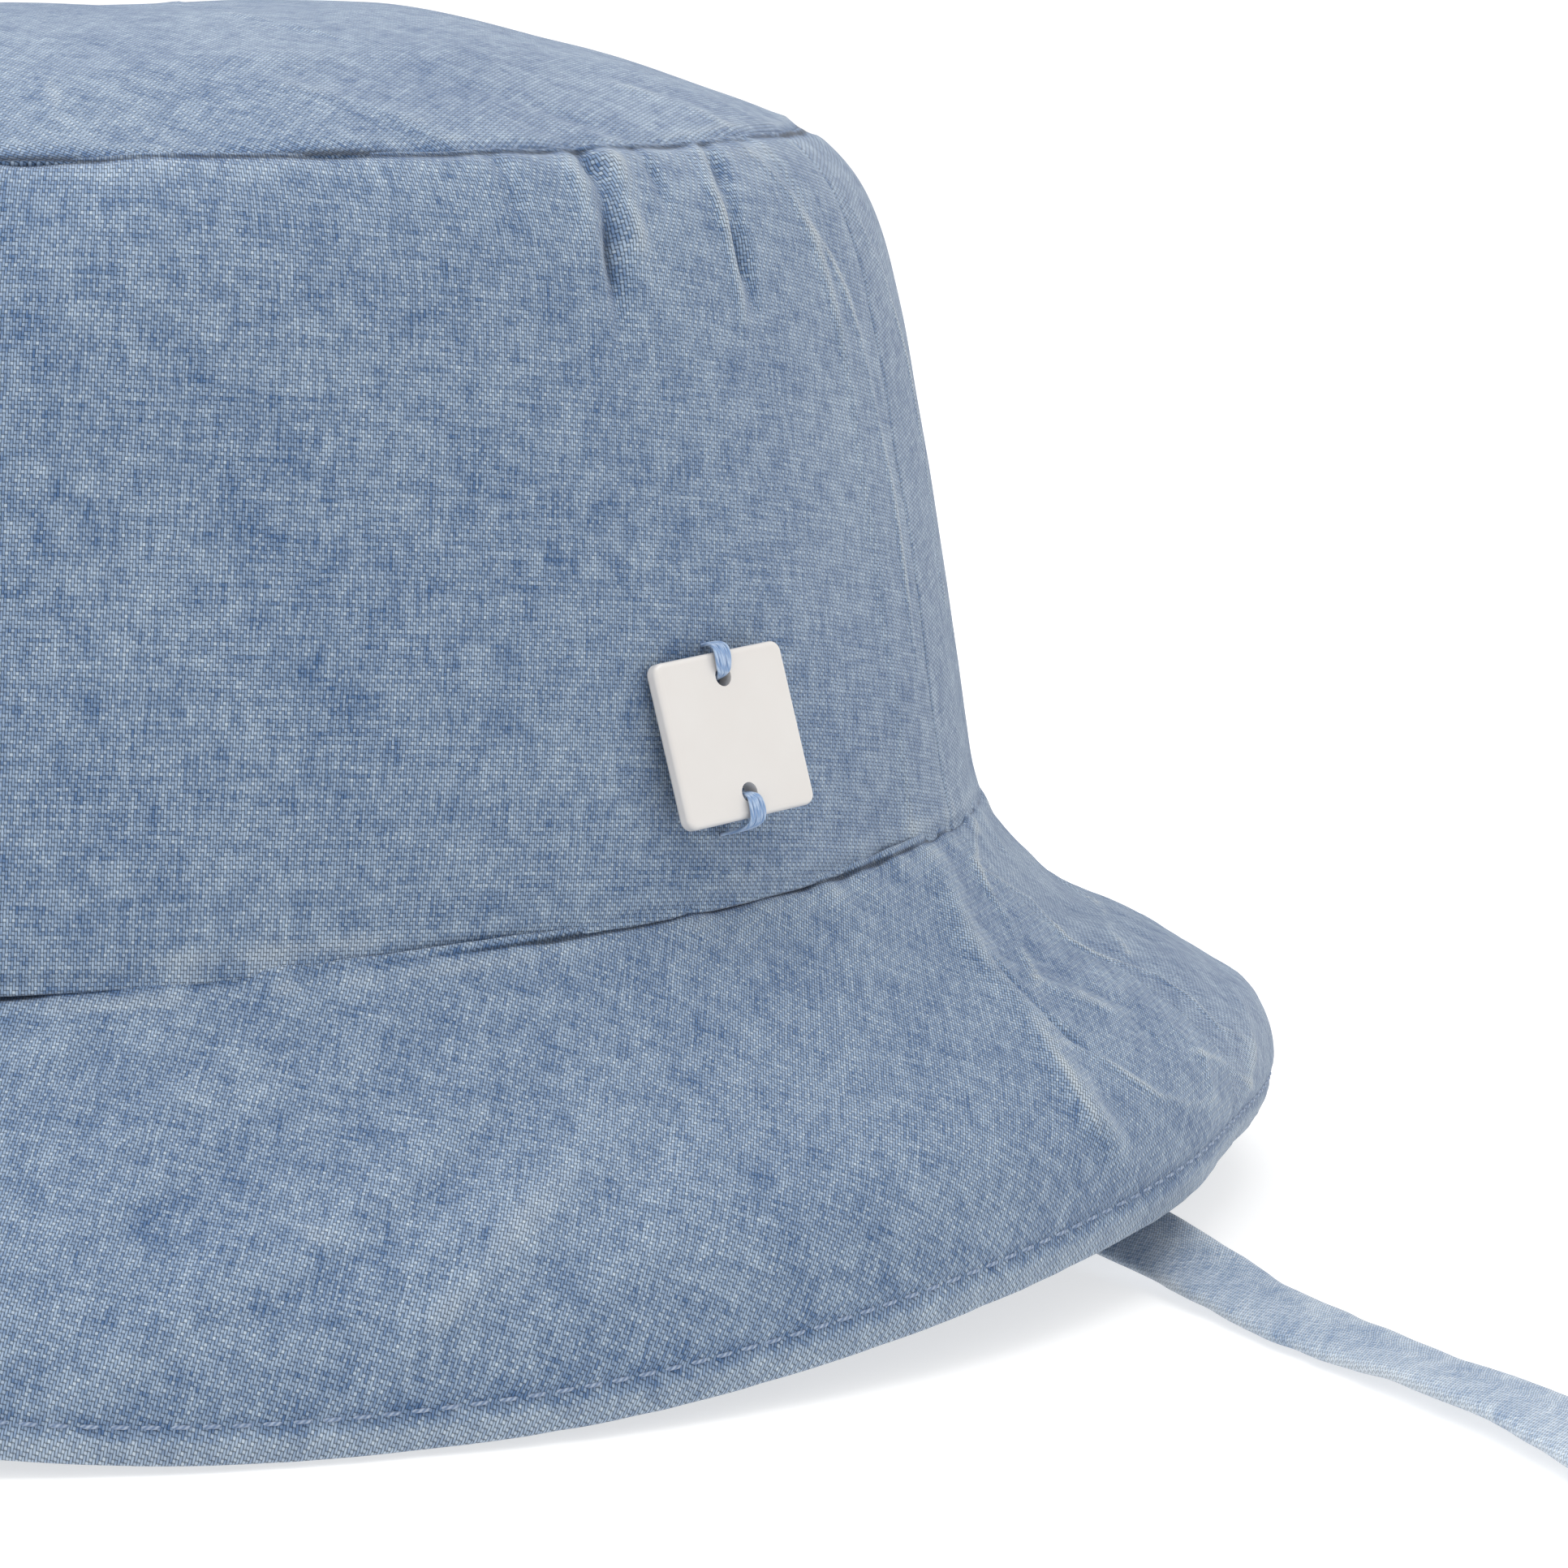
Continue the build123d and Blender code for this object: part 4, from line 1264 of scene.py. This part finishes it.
@dataclass
class HeadOpening(SubAssembly):
    """Seam tape round the head opening and the blank label at the back.

    Drop is how far the tape hangs below the head seam, in metres.
    """

    drop: float = 5 * MM
    tape: Ply = Ply(2.4 * MM, 3.0 * MM)
    label: Ply = Ply(3.2 * MM, 3.7 * MM)

    def build(self) -> None:
        """Make the tape and the label."""
        band, dress = Band(self.form), self.wardrobe
        bottom = -self.drop / (self.form.tip_seam - self.form.head_seam)
        piece = Panel("seam_tape", band, self.tape, ALL_ROUND, (bottom, 0.07), 480, 14, 10).build()
        self.place(piece, dress.tape, "seam_tape", "head_seam_tape")
        piece = Panel("blank_label", band, self.label, (172.0, 188.0), (bottom / 2, 0.27), 40, 24).build()
        self.place(piece, dress.satin, "label_tape", "size_label")


def carry(path: Grid, across: Grid, normal: Grid, outline: Grid) -> Grid:
    """Carry a flat outline along a path.

    Each point is the path's point, plus across times the outline's first number, plus normal
    times its second.

    Args:
        path: Points of the line.
        across: Unit vectors across it.
        normal: Unit vectors out of it.
        outline: Outline at each point of the line, two numbers a corner.

    Returns:
        Rings of points.
    """
    return path[:, None] + outline[..., :1] * across[:, None] + outline[..., 1:] * normal[:, None]


def directions(path: Grid) -> Grid:
    """Unit vectors along a line, from the differences of its points."""
    ahead = np.gradient(path, axis=0)
    return ahead / np.linalg.norm(ahead, axis=1, keepdims=True)


@dataclass
class CeramicTag(SubAssembly):
    """Glazed square tag and the loops of thread that hold it."""

    size: float = 13 * MM
    thickness: float = 1.4 * MM
    facing: float = math.radians(58)
    tilt: float = math.radians(15)
    roll: float = math.radians(4)
    hole: float = 4.55 * MM
    strand_radius: float = 0.14 * MM
    strands: int = 6
    slack: float = 0.2 * MM

    def axes(self) -> tuple[Grid, Grid, Grid, Grid]:
        """Middle of the tag and its unit vectors across, up and out of its face."""
        low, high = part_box("tag")
        middle = np.array([(low[i] + high[i]) / 2 for i in range(3)])
        out = np.array([math.cos(self.tilt) * math.sin(self.facing),
                        -math.cos(self.tilt) * math.cos(self.facing), math.sin(self.tilt)])
        level = np.array([math.cos(self.facing), math.sin(self.facing), 0.0])
        above = np.cross(out, level)
        across = level * math.cos(self.roll) + above * math.sin(self.roll)
        return middle, across, np.cross(out, across), out

    def build(self) -> None:
        """Dress the CAD tag and make both loops."""
        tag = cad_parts["tag"]
        self.wardrobe.wear(tag, self.wardrobe.ceramic, "glazed_tag")
        for name, side in (("upper", 1.0), ("lower", -1.0)):
            self.place(self.loop(f"tag_loop_{name}", side), self.wardrobe.tag_thread, "tag_thread",
                       f"tag_thread_{name}")

    def loop(self, name: str, side: float) -> bpy.types.Object:
        """Make one loop of several strands.

        A strand's line comes out of the cloth beyond the tag's edge, bends over the edge and
        goes down its hole. The line is a smooth blend of six points, each given as up, out and
        across of the tag, and strands lie side by side where they cross the tag and pull together
        at both ends. Slack holds the line off the tag's face.

        Args:
            name: The object's name.
            side: 1 at the tag's upper edge, -1 at its lower one.

        Returns:
            The object.
        """
        middle, across, up, out = self.axes()
        half, front = self.size / 2, self.thickness / 2
        rest = self.strand_radius
        route = np.array([
            (half + 0.75 * MM, side * 0.65 * MM - 2.3 * MM, side * 0.45 * MM),
            (half + 0.7 * MM, -0.1 * MM, side * 0.35 * MM),
            (half + 0.15 * MM, front + rest + self.slack, side * 0.1 * MM),
            (self.hole + 0.7 * MM, front + rest * 1.6 + self.slack, -side * 0.05 * MM),
            (self.hole + 0.15 * MM, front - 0.1 * MM, 0.0),
            (self.hole - 0.1 * MM, -front, 0.0),
        ])
        knots = np.linspace(0, 1, len(route))
        along = np.linspace(0, 1, 40)
        curve = smooth_line(knots, route, along)
        points, cloths = [], []
        for k in range(self.strands):
            offset = (k - (self.strands - 1) / 2) * 1.7 * self.strand_radius
            fan = offset * (0.35 + 0.65 * np.sin(math.pi * np.clip(along * 1.1, 0, 1)) ** 0.8)
            hop = self.strand_radius * 0.5 * np.sin(along * 9 + k * 2.1)
            line = (middle + side * curve[:, :1] * up + (curve[:, 1:2] + 0.4 * hop[:, None]) * out
                    + (curve[:, 2:] + fan[:, None] + 0.5 * hop[:, None]) * across)
            ahead = directions(line)
            normal = np.cross(ahead, across)
            normal /= np.linalg.norm(normal, axis=1, keepdims=True)
            beside = np.cross(normal, ahead)
            turn = np.arange(10) * TURN / 10
            outline = self.strand_radius * np.stack([np.cos(turn), np.sin(turn)], -1)
            outline = np.broadcast_to(outline, (len(along), 10, 2))
            points.append(carry(line, beside, normal, outline))
            length = np.broadcast_to(along[:, None] * 6 * MM + k * MM, (len(along), 10))
            cloths.append(np.stack([length, np.broadcast_to(turn / TURN, length.shape)], -1))
        size = len(along) * 10
        faces = []
        for k in range(self.strands):
            faces += [lattice(len(along), 10, k * size), np.arange(10)[None, ::-1] + k * size,
                      np.arange(10)[None] + (k + 1) * size - 10]
        points = np.array(points)
        return Shell(points, faces, np.array(cloths), np.zeros(points.shape[:-1])).make(name)


@dataclass
class Tie(SubAssembly):
    """Flat bias-cut tie from the left side seam, out under the brim and along the table.

    Its route is in millimetres, and it is rolled about its own line by so many degrees at so many
    millimetres along it.
    """

    width: float = 7 * MM
    thickness: float = 1.6 * MM
    length: float = 202.3 * MM
    roll_places: tuple[float, ...] = (0, 25, 33, 40, 48, 60, 80, 110, 200)
    rolls: tuple[float, ...] = (0, 10, 24, 20, 13, 8, 2, 8, 0)
    route: tuple[tuple[float, float, float], ...] = (
        (73.8, -3.0, 29.4), (76.5, -5.0, 17.0), (82.5, -6.5, 8.2), (91.0, -8.5, 3.8),
        (100.0, -15.5, 2.3), (109.0, -26.5, 1.4), (118.0, -36.0, 1.4), (127.5, -45.4, 1.8),
        (135.5, -54.5, 2.2), (144.0, -67.0, 1.8), (158.5, -72.0, 1.4), (173.0, -67.0, 1.6),
        (183.5, -55.0, 1.4), (187.5, -39.5, 1.5), (183.5, -24.5, 1.4), (175.0, -13.5, 1.5),
    )

    def centreline(self) -> Grid:
        """Read the line that the tie follows from its NURBS curve.

        Returns:
            Points along the curve, 0.7 mm apart.
        """
        curve = bpy.data.curves.new("tie_route", "CURVE")
        curve.dimensions = "3D"
        curve.resolution_u = 16
        spline = curve.splines.new("NURBS")
        spline.points.add(len(self.route) - 1)
        for point, (x, y, z) in zip(spline.points, self.route):
            point.co = (x * MM, y * MM, z * MM, 1.0)
        spline.order_u = 3
        spline.use_endpoint_u = True
        guide = bpy.data.objects.new("tie_route", curve)
        bpy.context.scene.collection.objects.link(guide)
        bpy.context.view_layer.update()
        mesh = bpy.data.meshes.new_from_object(guide)
        line = np.array([vertex.co for vertex in mesh.vertices], float)
        bpy.data.objects.remove(guide)
        bpy.data.curves.remove(curve)
        bpy.data.meshes.remove(mesh)
        run = np.concatenate([[0], np.cumsum(np.linalg.norm(np.diff(line, axis=0), axis=1))])
        even = np.linspace(0, run[-1], round(run[-1] / (0.7 * MM)))
        return np.stack([np.interp(even, run, line[:, i]) for i in range(3)], -1)

    def build(self) -> None:
        """Its section is a flattened oval with fuller edges: cosine and sine of the turn, each to a
        power under 1, and it is carried along the line.
        """
        path = self.centreline()
        run = np.concatenate([[0], np.cumsum(np.linalg.norm(np.diff(path, axis=0), axis=1))])
        ahead = directions(path)
        level = np.cross([0, 0, 1.0], ahead)
        level /= np.linalg.norm(level, axis=1, keepdims=True)
        above = np.cross(ahead, level)
        roll = np.interp(run, np.array(self.roll_places) * MM, np.radians(self.rolls))
        ripple = 0.06 * patchwork(run / (9 * MM), run * 0, 64, 71)
        roll = (roll + ripple)[:, None]
        across = level * np.cos(roll) + above * np.sin(roll)
        normal = np.cross(ahead, across)
        turn = np.arange(40) * TURN / 40
        wide, high = np.cos(turn), np.sin(turn)
        wide = np.sign(wide) * np.abs(wide) ** 0.75
        high = np.sign(high) * np.abs(high) ** 0.8 * (0.72 + 0.28 * wide ** 2)
        swell = 1 + 0.06 * patchwork(run[:, None] / (4 * MM), wide[None] * 1.4 + 5, 64, 72)
        end = ease(run[-1] + 0.3 * MM, run[-1] - 1.0 * MM, run)[:, None] * 0.75 + 0.25
        begin = ease(-0.3 * MM, 0.6 * MM, run)[:, None] * 0.75 + 0.25
        edge = 1 + 0.035 * patchwork(run / (3.1 * MM), run * 0, 96, 73)[:, None]
        thick = high * self.thickness / 2 * swell * end * begin
        rings = carry(path, across, normal, np.stack([wide * self.width / 2 * edge, thick], -1))
        around = np.cumsum(np.hypot(np.diff(wide, append=wide[:1]) * self.width / 2,
                                    np.diff(high, append=high[:1]) * self.thickness / 2))
        cloth = np.stack(np.broadcast_arrays(around[None], run[:, None]), -1)
        worn = 0.6 * np.abs(wide) ** 6 + 0.3 * patchwork(run[:, None] / (6 * MM), wide[None] + 9, 64, 74)
        piece = tube(rings, cloth, worn).make("tie")
        self.place(piece, self.wardrobe.tie_twill, "tie_cloth", "tie_left")


# ---- Studio -------------------------------------------------------------------------------


@dataclass(frozen=True)
class Lamp:
    """A square soft light: power in watts, size and place in metres, turn in degrees."""

    name: str
    power: float
    size: float
    at: tuple[float, float, float]
    turn: tuple[float, float, float]


@dataclass
class Studio:
    """Backlit floor, soft lights overhead and from the left, white surroundings and the camera."""

    floor_half: float = 120.0
    sky: float = 0.9
    lamps: tuple[Lamp, ...] = (
        Lamp("overhead", 13.0, 1.6, (-0.15, 0.05, 1.3), (2, -7, 0)),
        Lamp("left", 5.0, 0.9, (-1.1, -0.35, 0.75), (57, 0, -72)),
    )
    focal_length: float = 118.845
    sensor_width: float = 36.0
    camera_at: tuple[float, float, float] = (0.18303, -0.41110, 0.102)
    camera_down: float = 8.70
    camera_turn: float = 16.31

    def build(self) -> None:
        """Make the floor, the lights and the camera."""
        scene = bpy.context.scene
        scene.view_settings.view_transform = "Standard"
        mesh = bpy.data.meshes.new("floor")
        half = self.floor_half
        corners = [(-half, -half, 0), (half, -half, 0), (half, half, 0), (-half, half, 0)]
        mesh.from_pydata(corners, [], [(0, 1, 2, 3)])
        mesh.materials.append(BacklitFloor().build())
        floor = bpy.data.objects.new("floor", mesh)
        scene.collection.objects.link(floor)
        world = bpy.data.worlds.new("studio")
        world.use_nodes = True
        surroundings = world.node_tree.nodes["Background"]
        feed(world.node_tree, surroundings, {"Color": (1, 1, 1, 1), "Strength": self.sky})
        scene.world = world
        for lamp in self.lamps:
            shine = bpy.data.lights.new(lamp.name, "AREA")
            shine.energy, shine.size = lamp.power, lamp.size
            light = bpy.data.objects.new(lamp.name, shine)
            light.location = lamp.at
            light.rotation_euler = tuple(math.radians(angle) for angle in lamp.turn)
            scene.collection.objects.link(light)
        lens = bpy.data.cameras.new("camera")
        lens.lens, lens.sensor_width = self.focal_length, self.sensor_width
        lens.clip_start, lens.clip_end = 0.01, 500.0
        camera = bpy.data.objects.new("camera", lens)
        camera.location = self.camera_at
        camera.rotation_euler = (math.radians(90 - self.camera_down), 0, math.radians(self.camera_turn))
        scene.collection.objects.link(camera)
        scene.camera = camera


def main() -> None:
    """Build the studio and every sub-assembly of the hat."""
    logging.basicConfig(level=logging.INFO, format="%(name)s %(message)s")
    Studio().build()
    form, wardrobe = HatForm.from_frame(), Wardrobe()
    log.info("sizes: %s", form)
    for part in (Tie, Crown, BrimPlies, HeadOpening, CeramicTag):
        part(form, wardrobe).build()
        log.info("%s done", part.__name__)


if __name__ == "__main__":
    main()
